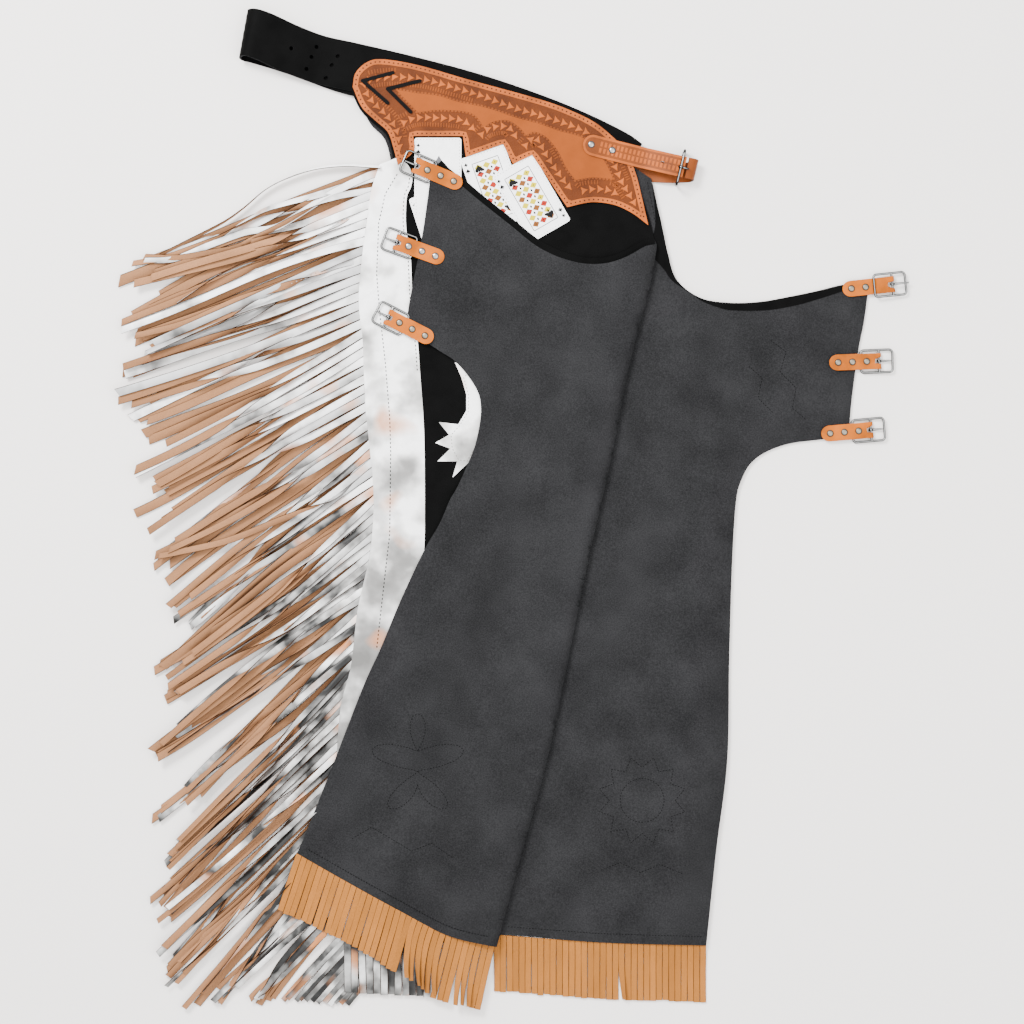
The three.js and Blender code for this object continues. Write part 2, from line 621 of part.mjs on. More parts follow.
// One tapering strip of fringe along its middle points
function fringeStrip(path, rootWidth, tipWidth) {
  const run = path[path.length - 1].clone().sub(path[0]);
  const side = new THREE.Vector3(-run.y, run.x, 0).normalize();
  const grid = path.map((point, i) => {
    const half = THREE.MathUtils.lerp(rootWidth, tipWidth, i / (path.length - 1)) / 2;
    return [point.clone().addScaledVector(side, half), point.clone().addScaledVector(side, -half)];
  });
  return toSolid(sheet(grid, STRIP_LEATHER * TRIM_LEATHER));
}

// A silver strip with its side fringe: the head's level, the level that the strips come down to, and where
// along its length each strip has a cross line
function sideFringe({ count, headLevel, tipLevel, shares, keepClear, salt }) {
  const middle = headLevel + TRIM_LEATHER / 2;
  const head = SILVER_STRIP.map(({ up, root, edge }) =>
    [root, edge].map((across) => new THREE.Vector3(across * SPREAD_WIDTH, up * LAID_LENGTH, middle)),
  );
  let fringe = toSolid(sheet(head, TRIM_LEATHER));
  for (const solid of keepClear) fringe = fringe.subtract(solid);
  const top = SILVER_STRIP[0].up;
  const bottom = SILVER_STRIP[SILVER_STRIP.length - 1].up;
  const pitch = ((top - bottom) * LAID_LENGTH) / count;
  const strips = Array.from({ length: count }, (_, i) => {
    const up = THREE.MathUtils.lerp(top, bottom, (i + 0.5) / count);
    const dip = radians(readTable(FRINGE_LAY, up, "dip"));
    const ray = new THREE.Vector3(-Math.cos(dip), -Math.sin(dip), 0);
    const length = SIDE_FRINGE * readTable(FRINGE_LAY, up, "reach") * (1 + SIDE_SCATTER * scatter(i, salt));
    const root = new THREE.Vector3(readTable(SILVER_STRIP, up, "root") * SPREAD_WIDTH, up * LAID_LENGTH, 0);
    const path = shares.map((share) => {
      const point = root.clone().addScaledVector(ray, share * length);
      const fall = 1 - Math.exp(-SIDE_FALL * Math.max(share, 0));
      point.z = THREE.MathUtils.lerp(middle, tipLevel + TRIM_LEATHER / 2, fall);
      return point;
    });
    const width = pitch * Math.cos(dip);
    return fringeStrip(path, SIDE_ROOT * width, SIDE_TIP * width);
  });
  return toGeometry(wasm.Manifold.union([fringe, ...strips]));
}

// The hem fringe: an uncut band that continues a hem line, and strips that hang from it
function hemFringe(line, runs) {
  const band = (drop) => line.map(({ at, down }) => at.clone().addScaledVector(down, drop));
  let fringe = toSolid(sheet([band(HEM_SEAM), band(HEM_BAND)], TRIM_LEATHER));
  for (const { from, to, count, salt } of runs) {
    const stretch = line.slice(from, to + 1);
    const route = new THREE.CurvePath();
    stretch.slice(1).forEach(({ at }, i) => route.add(new THREE.LineCurve3(stretch[i].at, at)));
    const span = route.getLength() / count;
    const strips = Array.from({ length: count }, (_, i) => {
      const share = (i + 0.5) / count;
      const at = route.getPointAt(share);
      const down = stretch[0].down.clone().lerp(stretch[stretch.length - 1].down, share).normalize();
      const length = HEM_FRINGE * (1 + HEM_SCATTER * scatter(i, salt));
      const path = [HEM_BAND - 2, length].map((drop) => at.clone().addScaledVector(down, drop));
      path[1].z = Math.max(path[1].z - HEM_FALL, TRIM_LEATHER / 2);
      return fringeStrip(path, HEM_ROOT * span, HEM_TIP * span);
    });
    fringe = wasm.Manifold.union([fringe, ...strips]);
  }
  return toGeometry(fringe);
}

const downAt = (turn) => new THREE.Vector3(Math.sin(radians(turn)), -Math.cos(radians(turn)), 0);

function rightHemFringe() {
  const hem = foldedSection(RIGHT_LEG_FOLDED[RIGHT_LEG_FOLDED.length - 1]);
  const turnFrom = LOWER_COLUMNS;
  const turnTo = LOWER_COLUMNS + TURN_ANGLES.length;
  const line = hem.map((at, j) => {
    const turn = j < turnTo ? 0 : THREE.MathUtils.mapLinear(j, turnTo, hem.length - 1, -3, -13);
    return { at, down: downAt(turn) };
  });
  return hemFringe(line, [
    { from: 0, to: turnFrom, count: HEM_STRIPS_RIGHT, salt: 3 },
    { from: turnTo, to: hem.length - 1, count: HEM_STRIPS_FLAP, salt: 4 },
  ]);
}

function leftHemFringe() {
  const line = leftLegSection(LEFT_LEG[LEFT_LEG.length - 1]).map((at) => ({ at, down: downAt(-2) }));
  return hemFringe(line, [{ from: 0, to: line.length - 1, count: HEM_STRIPS_LEFT, salt: 5 }]);
}

// Cards
const cardOutline = (card, grow = 0) => {
  const centre = place(card);
  return roundedRectangle(-CARD_WIDTH / 2 - grow, CARD_WIDTH / 2 + grow, CARD_HEIGHT + 2 * grow, CARD_CORNER)
    .map((point) => point.rotateAround(new THREE.Vector2(), radians(card.turn)).add(centre));
};

const cardRoom = (card) => toSolid(flatPiece(cardOutline(card, CLEARANCE), 0, 2 * FLAP_LEVEL));

function cardGeometry(index) {
  let card = toSolid(flatPiece(cardOutline(CARDS[index]), TRIM_LEVEL, TRIM_LEATHER));
  for (const above of CARDS.slice(index + 1)) card = card.subtract(cardRoom(above));
  return toGeometry(card);
}

// Yokes
function yokeGeometry(level, keepClear) {
  let yoke = toSolid(flatPiece(YOKE_OUTLINE.map(place), level, YOKE_LEATHER));
  for (const solid of keepClear) yoke = yoke.subtract(solid);
  return toGeometry(yoke);
}

// The room of a yoke and of a narrow gap below it, where the silver strip ends
const yokeRoom = () => {
  const outline = YOKE_OUTLINE.map(place);
  const lowered = outline.map((point) => new THREE.Vector2(point.x, point.y - 2 * CLEARANCE));
  return toSolid(flatPiece(outline, -1, 2 * FLAP_LEVEL)).add(toSolid(flatPiece(lowered, -1, 2 * FLAP_LEVEL)));
};

// Leaf scroll
function scrollGeometry() {
  const centre = place(SCROLL_PLACE);
  const outline = SCROLL_OUTLINE.map(({ across, up }) =>
    new THREE.Vector2(across, up).multiplyScalar(SCROLL_HEIGHT).add(centre),
  );
  return flatPiece(outline, TRIM_LEVEL, TRIM_LEATHER);
}

// Lacing
function laceGeometry(lace) {
  const [upper, point, lower] = [lace.upper, lace.point, lace.lower].map(([across, up]) => place({ across, up }));
  const rayUp = upper.clone().sub(point).normalize();
  const rayDown = lower.clone().sub(point).normalize();
  const inner = rayUp.clone().add(rayDown).normalize();
  const half = LACE_WIDTH / 2;
  const spread = half / Math.sin(Math.acos(rayUp.dot(rayDown)) / 2);
  const left = (ray) => new THREE.Vector2(-ray.y, ray.x);
  const outline = [
    point.clone().addScaledVector(inner, -spread),
    lower.clone().addScaledVector(left(rayDown), -half),
    lower.clone().addScaledVector(left(rayDown), half),
    point.clone().addScaledVector(inner, spread),
    upper.clone().addScaledVector(left(rayUp), -half),
    upper.clone().addScaledVector(left(rayUp), half),
  ];
  return flatPiece(outline, STRAP_LEVEL, LACE_LEATHER);
}

// Front strap. The buckle stands on the floor on its lower bar, both runs of the strap inside it.
const FRONT_LOW = 2 * FRONT_WIRE + CLEARANCE + STRAP_LEATHER / 2;
const FRONT_HIGH = FRONT_BUCKLE_HEIGHT - CLEARANCE - STRAP_LEATHER / 2;
const FRONT_SIDE = new THREE.Vector3(Math.sin(radians(FRONT_LEAN)), Math.cos(radians(FRONT_LEAN)), 0);
const FRONT_RUN = new THREE.Vector3(FRONT_SIDE.y, -FRONT_SIDE.x, 0);
const FRONT_TURN_ANGLES = [-60, -25, 10, 45, 75];
const FRONT_SLACK = 1; // keeps the turn of the strap clear of the bars

const strapSection = (x, y, height, half = 1) =>
  [1, -1].map((side) => new THREE.Vector3(x, y, height).addScaledVector(FRONT_SIDE, (side * half * STRAP_WIDTH) / 2));

function frontUpperGeometry() {
  const start = STRAP_LEVEL + STRAP_LEATHER / 2;
  const grid = FRONT_UPPER.map((row) => {
    const { x, y } = place(row);
    return strapSection(x, y, THREE.MathUtils.lerp(start, FRONT_HIGH, row.rise), row.half);
  });
  let strap = toSolid(sheet(grid, STRAP_LEATHER));
  const bar = place(FRONT_BUCKLE_PLACE);
  const eye = FRONT_WIRE + CLEARANCE + PRONG_METAL;
  const notch = new THREE.BoxGeometry(2 * eye + STRAP_WIDTH / 2, FRONT_NOTCH, FRONT_BUCKLE_HEIGHT);
  notch.translate(STRAP_WIDTH / 4 - 2 * CLEARANCE, 0, FRONT_HIGH);
  notch.rotateZ(-radians(FRONT_LEAN)).translate(bar.x, bar.y, 0);
  strap = strap.subtract(toSolid(notch));
  for (const hole of FRONT_HOLES) strap = strap.subtract(drill(place(hole), STRAP_HOLE, 0, 2 * FRONT_HIGH));
  return toGeometry(strap);
}

function frontLowerGeometry() {
  const rows = FRONT_LOWER.map((row) => {
    const { x, y } = place(row);
    return strapSection(x, y, THREE.MathUtils.lerp(STRAP_LEATHER / 2, FRONT_LOW, row.rise));
  });
  const end = place(FRONT_LOWER[FRONT_LOWER.length - 1]);
  const top = place(FRONT_UPPER[FRONT_UPPER.length - 1]);
  const radius = (FRONT_HIGH - FRONT_LOW) / 2;
  const turn = FRONT_TURN_ANGLES.map((angle) => {
    const share = (Math.sin(radians(angle)) + 1) / 2;
    const at = end.clone().lerp(top, share);
    const out = radius * Math.cos(radians(angle)) + FRONT_SLACK;
    return strapSection(
      at.x + out * FRONT_RUN.x,
      at.y + out * FRONT_RUN.y,
      FRONT_LOW + radius * (1 + Math.sin(radians(angle))),
    );
  });
  const gap = FRONT_SLACK / 2;
  const back = strapSection(top.x + gap * FRONT_RUN.x, top.y + gap * FRONT_RUN.y, FRONT_HIGH);
  return sheet([...rows, ...turn, back], STRAP_LEATHER);
}

// The room that the left strap takes in the left yoke's layer
function frontLowerRoom() {
  const grow = 1 + (2 * CLEARANCE) / STRAP_WIDTH;
  const sections = FRONT_LOWER.map((row, i) => {
    const { x, y } = place(row);
    const back = i === 0 ? CLEARANCE : 0;
    return strapSection(x - back * FRONT_RUN.x, y - back * FRONT_RUN.y, 0, grow);
  });
  const upper = sections.map(([top]) => new THREE.Vector2(top.x, top.y));
  const lower = sections.map((section) => new THREE.Vector2(section[1].x, section[1].y));
  return toSolid(flatPiece([...upper, ...lower.toReversed()], -1, LEFT_LEVEL + 1));
}

function frontBuckleGeometry() {
  const path = roundedRectangle(0, FRONT_BUCKLE_HEIGHT, FRONT_BUCKLE_WIDTH, BUCKLE_CORNER).map(
    (point) => new THREE.Vector3(0, point.y, point.x),
  );
  return wireRing(path, FRONT_WIRE, 8);
}

// A prong: an eye round its bar at the origin and a shank that runs along +x
const EYE_SIDES = 10;

function prongGeometry(wire, reach, shankLow, shankHigh) {
  const eye = wire + CLEARANCE + PRONG_METAL;
  const join = (height) => Math.asin(THREE.MathUtils.clamp(height / eye, -1, 1));
  const from = join(shankHigh);
  const to = join(shankLow) + 2 * Math.PI;
  const outline = Array.from({ length: EYE_SIDES + 1 }, (_, k) => {
    const angle = THREE.MathUtils.lerp(from, to, k / EYE_SIDES);
    return new THREE.Vector2(eye * Math.cos(angle), eye * Math.sin(angle));
  });
  outline.push(new THREE.Vector2(reach, shankLow));
  outline.push(new THREE.Vector2(reach, shankHigh));
  const shape = new THREE.Shape(outline);
  shape.holes.push(new THREE.Path(circle((wire + CLEARANCE) / Math.cos(Math.PI / EYE_SIDES), EYE_SIDES)));
  const geometry = new THREE.ExtrudeGeometry(shape, { depth: PRONG_WIDTH, bevelEnabled: false });
  return geometry.rotateX(Math.PI / 2).translate(0, PRONG_WIDTH / 2, 0);
}

// Thigh tab in its own frame: +x from the tip to the buckle, the single face of the tab at z = 0
const EYE = BUCKLE_WIRE + CLEARANCE + TAB_LEATHER;
const TAB_PLIES = 2 * TAB_LEATHER;
const BUCKLE_ROOM = 2 * BUCKLE_WIRE + 2 * CLEARANCE;
const HEEL_DROP = CLEARANCE + EYE - BUCKLE_ROOM;
const BUCKLE_TILT = Math.atan((HEEL_DROP + CLEARANCE + BUCKLE_WIRE) / BUCKLE_KEEPER);

function tabGeometry() {
  const outline = [new THREE.Vector2(0, TAB_PLIES), new THREE.Vector2(0, 0)];
  outline.push(new THREE.Vector2(TAB_LENGTH - 2 * EYE, 0));
  for (let k = 0; k <= 7; k++) {
    const angle = radians(200 + k * 35);
    outline.push(new THREE.Vector2(TAB_LENGTH + EYE * Math.cos(angle), HEEL_DROP + EYE * Math.sin(angle)));
  }
  outline.push(new THREE.Vector2(TAB_LENGTH - 2 * EYE, TAB_PLIES));
  const profile = new THREE.Shape(outline);
  const bore = (BUCKLE_WIRE + CLEARANCE) / Math.cos(Math.PI / EYE_SIDES);
  profile.holes.push(new THREE.Path(circle(bore, EYE_SIDES, TAB_LENGTH, HEEL_DROP)));
  const strip = new THREE.ExtrudeGeometry(profile, { depth: TAB_WIDTH, bevelEnabled: false });
  strip.rotateX(Math.PI / 2).translate(0, TAB_WIDTH / 2, 0);
  const plan = [new THREE.Vector2(2 * TAB_LENGTH, TAB_WIDTH)];
  for (let k = 0; k <= 6; k++) {
    const angle = radians(90 + k * 30);
    plan.push(new THREE.Vector2(TAB_TIP + TAB_TIP * Math.cos(angle), (TAB_WIDTH / 2) * Math.sin(angle)));
  }
  plan.push(new THREE.Vector2(2 * TAB_LENGTH, -TAB_WIDTH));
  const slot = new THREE.BoxGeometry(4 * EYE, TAB_SLOT, 4 * EYE);
  slot.translate(TAB_LENGTH + EYE / 2, 0, 0);
  const tab = toSolid(strip).intersect(toSolid(flatPiece(plan, -2 * EYE, 4 * EYE))).subtract(toSolid(slot));
  return toGeometry(tab);
}

function thighBuckleGeometry() {
  const path = roundedRectangle(-BUCKLE_KEEPER, BUCKLE_FRONT, BUCKLE_WIDTH, BUCKLE_CORNER).map(
    (point) => new THREE.Vector3(point.x, point.y, 0),
  );
  const bar = new THREE.CylinderGeometry(BUCKLE_WIRE, BUCKLE_WIRE, BUCKLE_WIDTH, 8);
  return toGeometry(toSolid(wireRing(path, BUCKLE_WIRE, 6)).add(toSolid(bar)));
}

// A rivet: a low domed cap that stands on z = 0
function rivetGeometry(diameter) {
  const radius = diameter / 2;
  const profile = [
    new THREE.Vector2(0, 0),
    new THREE.Vector2(radius, 0),
    new THREE.Vector2(0.75 * radius, RIVET_HEAD),
    new THREE.Vector2(0, RIVET_HEAD),
  ];
  return new THREE.LatheGeometry(profile, 9).rotateX(Math.PI / 2);
}

const chaps = new THREE.Group();

function add(parent, name, geometry, material) {
  const mesh = new THREE.Mesh(geometry, material);
  mesh.name = name;
  parent.add(mesh);
  return mesh;
}

add(chaps, "waist_belt", beltGeometry(), FINISHES.blackLeather);
add(chaps, "leg_right", rightLegGeometry(), FINISHES.suede);
add(chaps, "leg_left", leftLegGeometry(), FINISHES.suede);

const cardRooms = CARDS.map(cardRoom);
const rightFringe = {
  count: SIDE_STRIPS_RIGHT,
  headLevel: TRIM_LEVEL,
  tipLevel: TRIM_LEATHER + CLEARANCE,
  shares: [-0.02, 0.3, 1],
  keepClear: [...cardRooms, yokeRoom()],
  salt: 1,
};
const leftFringe = {
  count: SIDE_STRIPS_LEFT,
  headLevel: LEFT_LEVEL - CLEARANCE - TRIM_LEATHER,
  tipLevel: 0,
  shares: [-0.02, 1],
  keepClear: [yokeRoom()],
  salt: 2,
};
add(chaps, "side_fringe_right", sideFringe(rightFringe), FINISHES.silverFoil);
add(chaps, "side_fringe_left", sideFringe(leftFringe), FINISHES.tanSuede);
add(chaps, "hem_fringe_right", rightHemFringe(), FINISHES.tanSuede);
add(chaps, "hem_fringe_left", leftHemFringe(), FINISHES.tanSuede);
add(chaps, "yoke_right", yokeGeometry(TRIM_LEVEL, cardRooms), FINISHES.russet);
add(chaps, "yoke_left", yokeGeometry(LEFT_LEVEL - CLEARANCE - YOKE_LEATHER, [frontLowerRoom()]), FINISHES.russet);
CARDS.forEach((card, i) => add(chaps, card.name, cardGeometry(i), FINISHES.whiteLeather));
add(chaps, "leaf_scroll", scrollGeometry(), FINISHES.silverFoil);
for (const lace of LACES) add(chaps, lace.name, laceGeometry(lace), FINISHES.blackLeather);

add(chaps, "front_strap_right", frontUpperGeometry(), FINISHES.russet);
add(chaps, "front_strap_left", frontLowerGeometry(), FINISHES.russet);
for (const rivet of FRONT_RIVETS) {
  const mesh = add(chaps, rivet.name, rivetGeometry(FRONT_RIVET), FINISHES.steel);
  const at = place(rivet);
  mesh.position.set(at.x, at.y, STRAP_LEVEL + STRAP_LEATHER + CLEARANCE);
}

const frontBuckle = new THREE.Group();
const frontPlace = place(FRONT_BUCKLE_PLACE);
frontBuckle.position.set(frontPlace.x, frontPlace.y, FRONT_WIRE);
frontBuckle.rotation.z = -radians(FRONT_LEAN);
add(frontBuckle, "front_buckle", frontBuckleGeometry(), FINISHES.steel);
const frontProng = add(
  frontBuckle,
  "front_prong",
  prongGeometry(FRONT_WIRE, FRONT_PRONG, FRONT_WIRE + CLEARANCE, FRONT_WIRE + CLEARANCE + PRONG_METAL),
  FINISHES.steel,
);
frontProng.position.z = FRONT_BUCKLE_HEIGHT;
frontProng.rotation.y = radians(FRONT_PRONG_LEAN);
chaps.add(frontBuckle);

for (const tab of TABS) {
  const under = tab.onFlap ? TRIM_LEVEL + TRIM_LEATHER : -CLEARANCE;
  const carrier = tab.onFlap ? FLAP_TOP : LEG_LEATHER;
  const level = Math.max(carrier + CLEARANCE, under + BUCKLE_ROOM);
  const rows = tab.onFlap ? RIGHT_LEG_FOLDED : LEFT_LEG.slice(WING_TOP_ROW);
  const edge = rows.map((row) => ({ up: row.edgeUp ?? row.frontUp, across: row.edgeAcross ?? row.frontAcross }));
  const ray = new THREE.Vector2(Math.cos(radians(tab.turn)), Math.sin(radians(tab.turn)));
  const at = place({ across: readTable(edge, tab.edgeUp, "across"), up: tab.edgeUp });
  at.addScaledVector(ray, (tab.stand - 1) * TAB_LENGTH + BUCKLE_KEEPER);
  const group = new THREE.Group();
  group.position.set(at.x, at.y, tab.faceUp ? carrier + CLEARANCE + TAB_PLIES : level);
  group.rotation.set(tab.faceUp ? Math.PI : 0, 0, radians(tab.turn), "ZYX");
  add(group, `thigh_tab_${tab.name}`, tabGeometry(), FINISHES.tanSuede);
  for (let k = 0; k < tab.rivets; k++) {
    const rivet = add(group, `thigh_rivet_${tab.name}_${k + 1}`, rivetGeometry(TAB_RIVET), FINISHES.steel);
    rivet.position.x = RIVET_FIRST + k * RIVET_PITCH;
    rivet.position.z = tab.faceUp ? -CLEARANCE : TAB_PLIES + CLEARANCE;
    rivet.rotation.x = tab.faceUp ? Math.PI : 0;
  }
  const buckle = new THREE.Group();
  buckle.position.set(TAB_LENGTH, 0, HEEL_DROP);
  buckle.rotation.y = -BUCKLE_TILT;
  add(buckle, `thigh_buckle_${tab.name}`, thighBuckleGeometry(), FINISHES.steel);
  const resting = tab.faceUp;
  const reach = resting ? BUCKLE_FRONT + BUCKLE_WIRE + PRONG_OVERHANG : BUCKLE_FRONT - BUCKLE_WIRE - CLEARANCE;
  const low = resting ? -BUCKLE_WIRE - CLEARANCE - PRONG_METAL : -PRONG_METAL / 2;
  add(buckle, `thigh_prong_${tab.name}`, prongGeometry(BUCKLE_WIRE, reach, low, low + PRONG_METAL), FINISHES.steel);
  group.add(buckle);
  chaps.add(group);
}

// Bring the origin under the middle of the laid pair
const pair = new THREE.Group();
pair.add(chaps);
pair.updateMatrixWorld(true);
const middle = new THREE.Box3().setFromObject(pair, true).getCenter(new THREE.Vector3());
chaps.position.set(-middle.x, -middle.y, 0);

export default pair;
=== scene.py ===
"""Looks of a laid pair of bull riding chaps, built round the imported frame, in metres."""

import json
import math
import random

import bmesh
import bpy
import numpy as np
from mathutils import Matrix, Vector
from mathutils.geometry import delaunay_2d_cdt

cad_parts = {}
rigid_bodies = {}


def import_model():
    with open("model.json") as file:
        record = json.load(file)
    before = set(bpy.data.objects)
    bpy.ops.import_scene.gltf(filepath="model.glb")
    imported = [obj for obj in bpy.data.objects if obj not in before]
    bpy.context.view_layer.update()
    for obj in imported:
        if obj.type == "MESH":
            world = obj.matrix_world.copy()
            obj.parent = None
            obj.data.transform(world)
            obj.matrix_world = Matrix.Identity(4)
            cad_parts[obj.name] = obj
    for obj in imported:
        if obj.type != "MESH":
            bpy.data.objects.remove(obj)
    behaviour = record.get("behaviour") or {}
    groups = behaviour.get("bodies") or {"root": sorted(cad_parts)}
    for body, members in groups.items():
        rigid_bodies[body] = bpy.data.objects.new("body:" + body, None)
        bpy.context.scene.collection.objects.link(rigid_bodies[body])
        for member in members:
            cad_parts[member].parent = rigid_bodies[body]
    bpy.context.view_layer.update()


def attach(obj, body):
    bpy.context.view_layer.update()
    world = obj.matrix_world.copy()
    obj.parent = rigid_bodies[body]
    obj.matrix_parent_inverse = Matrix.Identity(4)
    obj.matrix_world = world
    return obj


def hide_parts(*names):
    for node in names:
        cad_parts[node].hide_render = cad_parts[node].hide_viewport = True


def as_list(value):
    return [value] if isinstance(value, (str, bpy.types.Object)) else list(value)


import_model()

bl_info = {
    "name": "Bull Riding Chaps",
    "version": (1, 0, 0),
    "blender": (4, 5, 0),
    "location": "View3D > Sidebar > Chaps",
    "description": "Dresses a laid pair of fringed riding chaps",
    "category": "Object",
}

MM = 0.001
UNIT = 0.0012  # one unit of the drawing sheet that the outlines are given on
SHEET_MIDDLE = 512
LAID_MIDDLE = (-0.000355, -0.001193)  # the sheet's middle in the frame

# Levels of the stacked layers in mm: the under side of each
LEFT_LEVEL = 2.7
RIGHT_LEVEL = 5.4
TRIM_LEVEL = 8.1
FLAP_LEVEL = 9.6

HIDE = 2.4  # thickness of the legs' and the belt's leather in mm

# Drawing


def lay(x, y, z=0.0):
    """A place on the drawing sheet, y running down the legs, at a height in mm."""
    across = (x - SHEET_MIDDLE) * UNIT + LAID_MIDDLE[0]
    up = (SHEET_MIDDLE - y) * UNIT + LAID_MIDDLE[1]
    return Vector((across, up, z * MM))


def curve_point(a, b, c, d, t):
    """A place between b and c on the smooth curve through four points."""
    return 0.5 * (
        2 * b + (c - a) * t + (2 * a - 5 * b + 4 * c - d) * t**2 + (3 * b - a - 3 * c + d) * t**3
    )


def fours(points):
    """Each point with its neighbours, as the curve needs them, past the ends too."""
    ends = [2 * points[0] - points[1], *points, 2 * points[-1] - points[-2]]
    return zip(ends, ends[1:], ends[2:], ends[3:])


def smooth_run(points, step=3.0):
    """A smooth line through the points, with a point about every step."""
    pts = [np.array(p, float) for p in points]
    if len(pts) < 3:
        count = max(1, round(np.linalg.norm(pts[-1] - pts[0]) / step))
        return [pts[0] + (pts[-1] - pts[0]) * k / count for k in range(count + 1)]
    line = [pts[0]]
    for a, b, c, d in fours(pts):
        count = max(1, round(np.linalg.norm(c - b) / step))
        line.extend(curve_point(a, b, c, d, k / count) for k in range(1, count + 1))
    return line


def border(*runs, step=3.0):
    """A closed outline of smooth runs that meet in corners."""
    line = []
    for run, following in zip(runs, [*runs[1:], runs[0]]):
        for point in smooth_run(run, step):
            if not line or np.linalg.norm(point - line[-1]) > 0.02:
                line.append(point)
        if np.linalg.norm(np.array(following[0], float) - line[-1]) < 0.02:
            line.pop()
    return line


def polygon(corners, step):
    """A closed outline of straight runs between corners."""
    return border(*zip(corners, [*corners[1:], corners[0]]), step=step)


def inside(outline, points):
    """Which of the points lie inside an outline."""
    poly = np.array(outline)
    x, y = points[:, 0][:, None], points[:, 1][:, None]
    ax, ay = poly[:, 0], poly[:, 1]
    bx, by = np.roll(ax, -1), np.roll(ay, -1)
    crosses = (ay > y) != (by > y)
    slope = np.where(by == ay, 1e-12, by - ay)
    left = x < (bx - ax) * (y - ay) / slope + ax
    return (crosses & left).sum(axis=1) % 2 == 1


def distance_to(line, points, closed=False):
    """Distance of each point from a line of points."""
    a = np.array(line)
    b = np.roll(a, -1, axis=0)
    if not closed:
        a, b = a[:-1], b[:-1]
    best = np.full(len(points), 1e9)
    for p, q in zip(a, b):
        run = q - p
        length = max(run @ run, 1e-12)
        t = np.clip(((points - p) @ run) / length, 0, 1)
        best = np.minimum(best, np.linalg.norm(points - p - t[:, None] * run, axis=1))
    return best


def grid_over(outline, pitch):
    """Staggered points over the box of an outline."""
    low, high = np.min(outline, axis=0), np.max(outline, axis=0)
    grid = []
    row = 0
    y = low[1] + pitch / 2
    while y < high[1]:
        x = low[0] + (pitch / 2 if row % 2 else pitch)
        while x < high[0]:
            grid.append((x, y))
            x += pitch
        y += pitch * 0.87
        row += 1
    return grid


def tile(outline, holes=(), pitch=6.0, extra=()):
    """Points and triangles that fill an outline and leave its holes open."""
    outline = [np.array(p, float) for p in outline]
    loops = [outline, *[[np.array(p, float) for p in hole] for hole in holes]]
    points, edges = [], []
    for loop in loops:
        first = len(points)
        points.extend(loop)
        edges.extend((first + k, first + (k + 1) % len(loop)) for k in range(len(loop)))
    grid = np.array([*grid_over(outline, pitch), *extra]).reshape(-1, 2)
    if len(grid):
        keep = inside(outline, grid)
        for loop in loops:
            keep &= distance_to(loop, grid, closed=True) > (0.3 if len(extra) else 0.3 * pitch)
        for hole in loops[1:]:
            keep &= ~inside(hole, grid)
        points.extend(grid[keep])
    flat = [Vector((float(p[0]), float(p[1]))) for p in points]
    verts, _, faces, *_ = delaunay_2d_cdt(flat, edges, [], 0, 1e-4)
    verts = np.array([(v.x, v.y) for v in verts])
    faces = np.array([list(f) for f in faces])
    middles = verts[faces].mean(axis=1)
    keep = inside(outline, middles)
    for hole in loops[1:]:
        keep &= ~inside(hole, middles)
    return verts, faces[keep]


def turned(points, tris, up=True):
    """Triangles turned to look up or down. The sheet's y runs down, so they go round the other way."""
    a, b, c = (points[tris[:, k]] for k in range(3))
    turn = (b[:, 0] - a[:, 0]) * (c[:, 1] - a[:, 1]) - (b[:, 1] - a[:, 1]) * (c[:, 0] - a[:, 0])
    wrong = turn > 0 if up else turn < 0
    return np.where(wrong[:, None], tris[:, ::-1], tris)


def inset(outline, distance):
    """An outline moved inwards, with the loops that this makes in its corners left out."""
    pts = np.array(outline, float)
    run = np.roll(pts, -1, axis=0) - np.roll(pts, 1, axis=0)
    run /= np.linalg.norm(run, axis=1)[:, None]
    ahead = np.roll(pts, -1, axis=0)
    area = (pts[:, 0] * ahead[:, 1] - ahead[:, 0] * pts[:, 1]).sum()
    normal = np.stack([-run[:, 1], run[:, 0]], axis=1) * (1 if area > 0 else -1)
    moved = pts + distance * normal
    return list(moved[distance_to(pts, moved, closed=True) > 0.93 * distance])


def closed(line):
    """A line that ends where it starts."""
    return [*line, line[0]]


def disc(x, y, radius, sides=16):
    """A round outline."""
    turn = [2 * math.pi * k / sides for k in range(sides)]
    return [(x + radius * math.cos(a), y + radius * math.sin(a)) for a in turn]


def offset_line(line, distance):
    """An open line moved sideways, to its left as it runs."""
    pts = np.array(line, float)
    run = np.gradient(pts, axis=0)
    run /= np.linalg.norm(run, axis=1)[:, None]
    return pts + distance * np.stack([run[:, 1], -run[:, 0]], axis=1)


def along(line, spacing):
    """Places and directions every spacing along a line."""
    pts = np.array(line, float)
    steps = np.linalg.norm(np.diff(pts, axis=0), axis=1)
    reach = np.concatenate([[0], np.cumsum(steps)])
    for at in np.arange(spacing / 2, reach[-1], spacing):
        k = min(np.searchsorted(reach, at, side="right") - 1, len(steps) - 1)
        run = (pts[k + 1] - pts[k]) / max(steps[k], 1e-9)
        yield pts[k] + run * (at - reach[k]), run


def total_length(line):
    """Length of a line of points."""
    return sum(np.linalg.norm(np.diff(np.array(line), axis=0), axis=1))


# Materials


def colour(hex_value):
    """An sRGB hex value as linear RGBA."""
    parts = [int(hex_value[i : i + 2], 16) / 255 for i in (1, 3, 5)]
    return (*[c / 12.92 if c <= 0.04045 else ((c + 0.055) / 1.055) ** 2.4 for c in parts], 1.0)


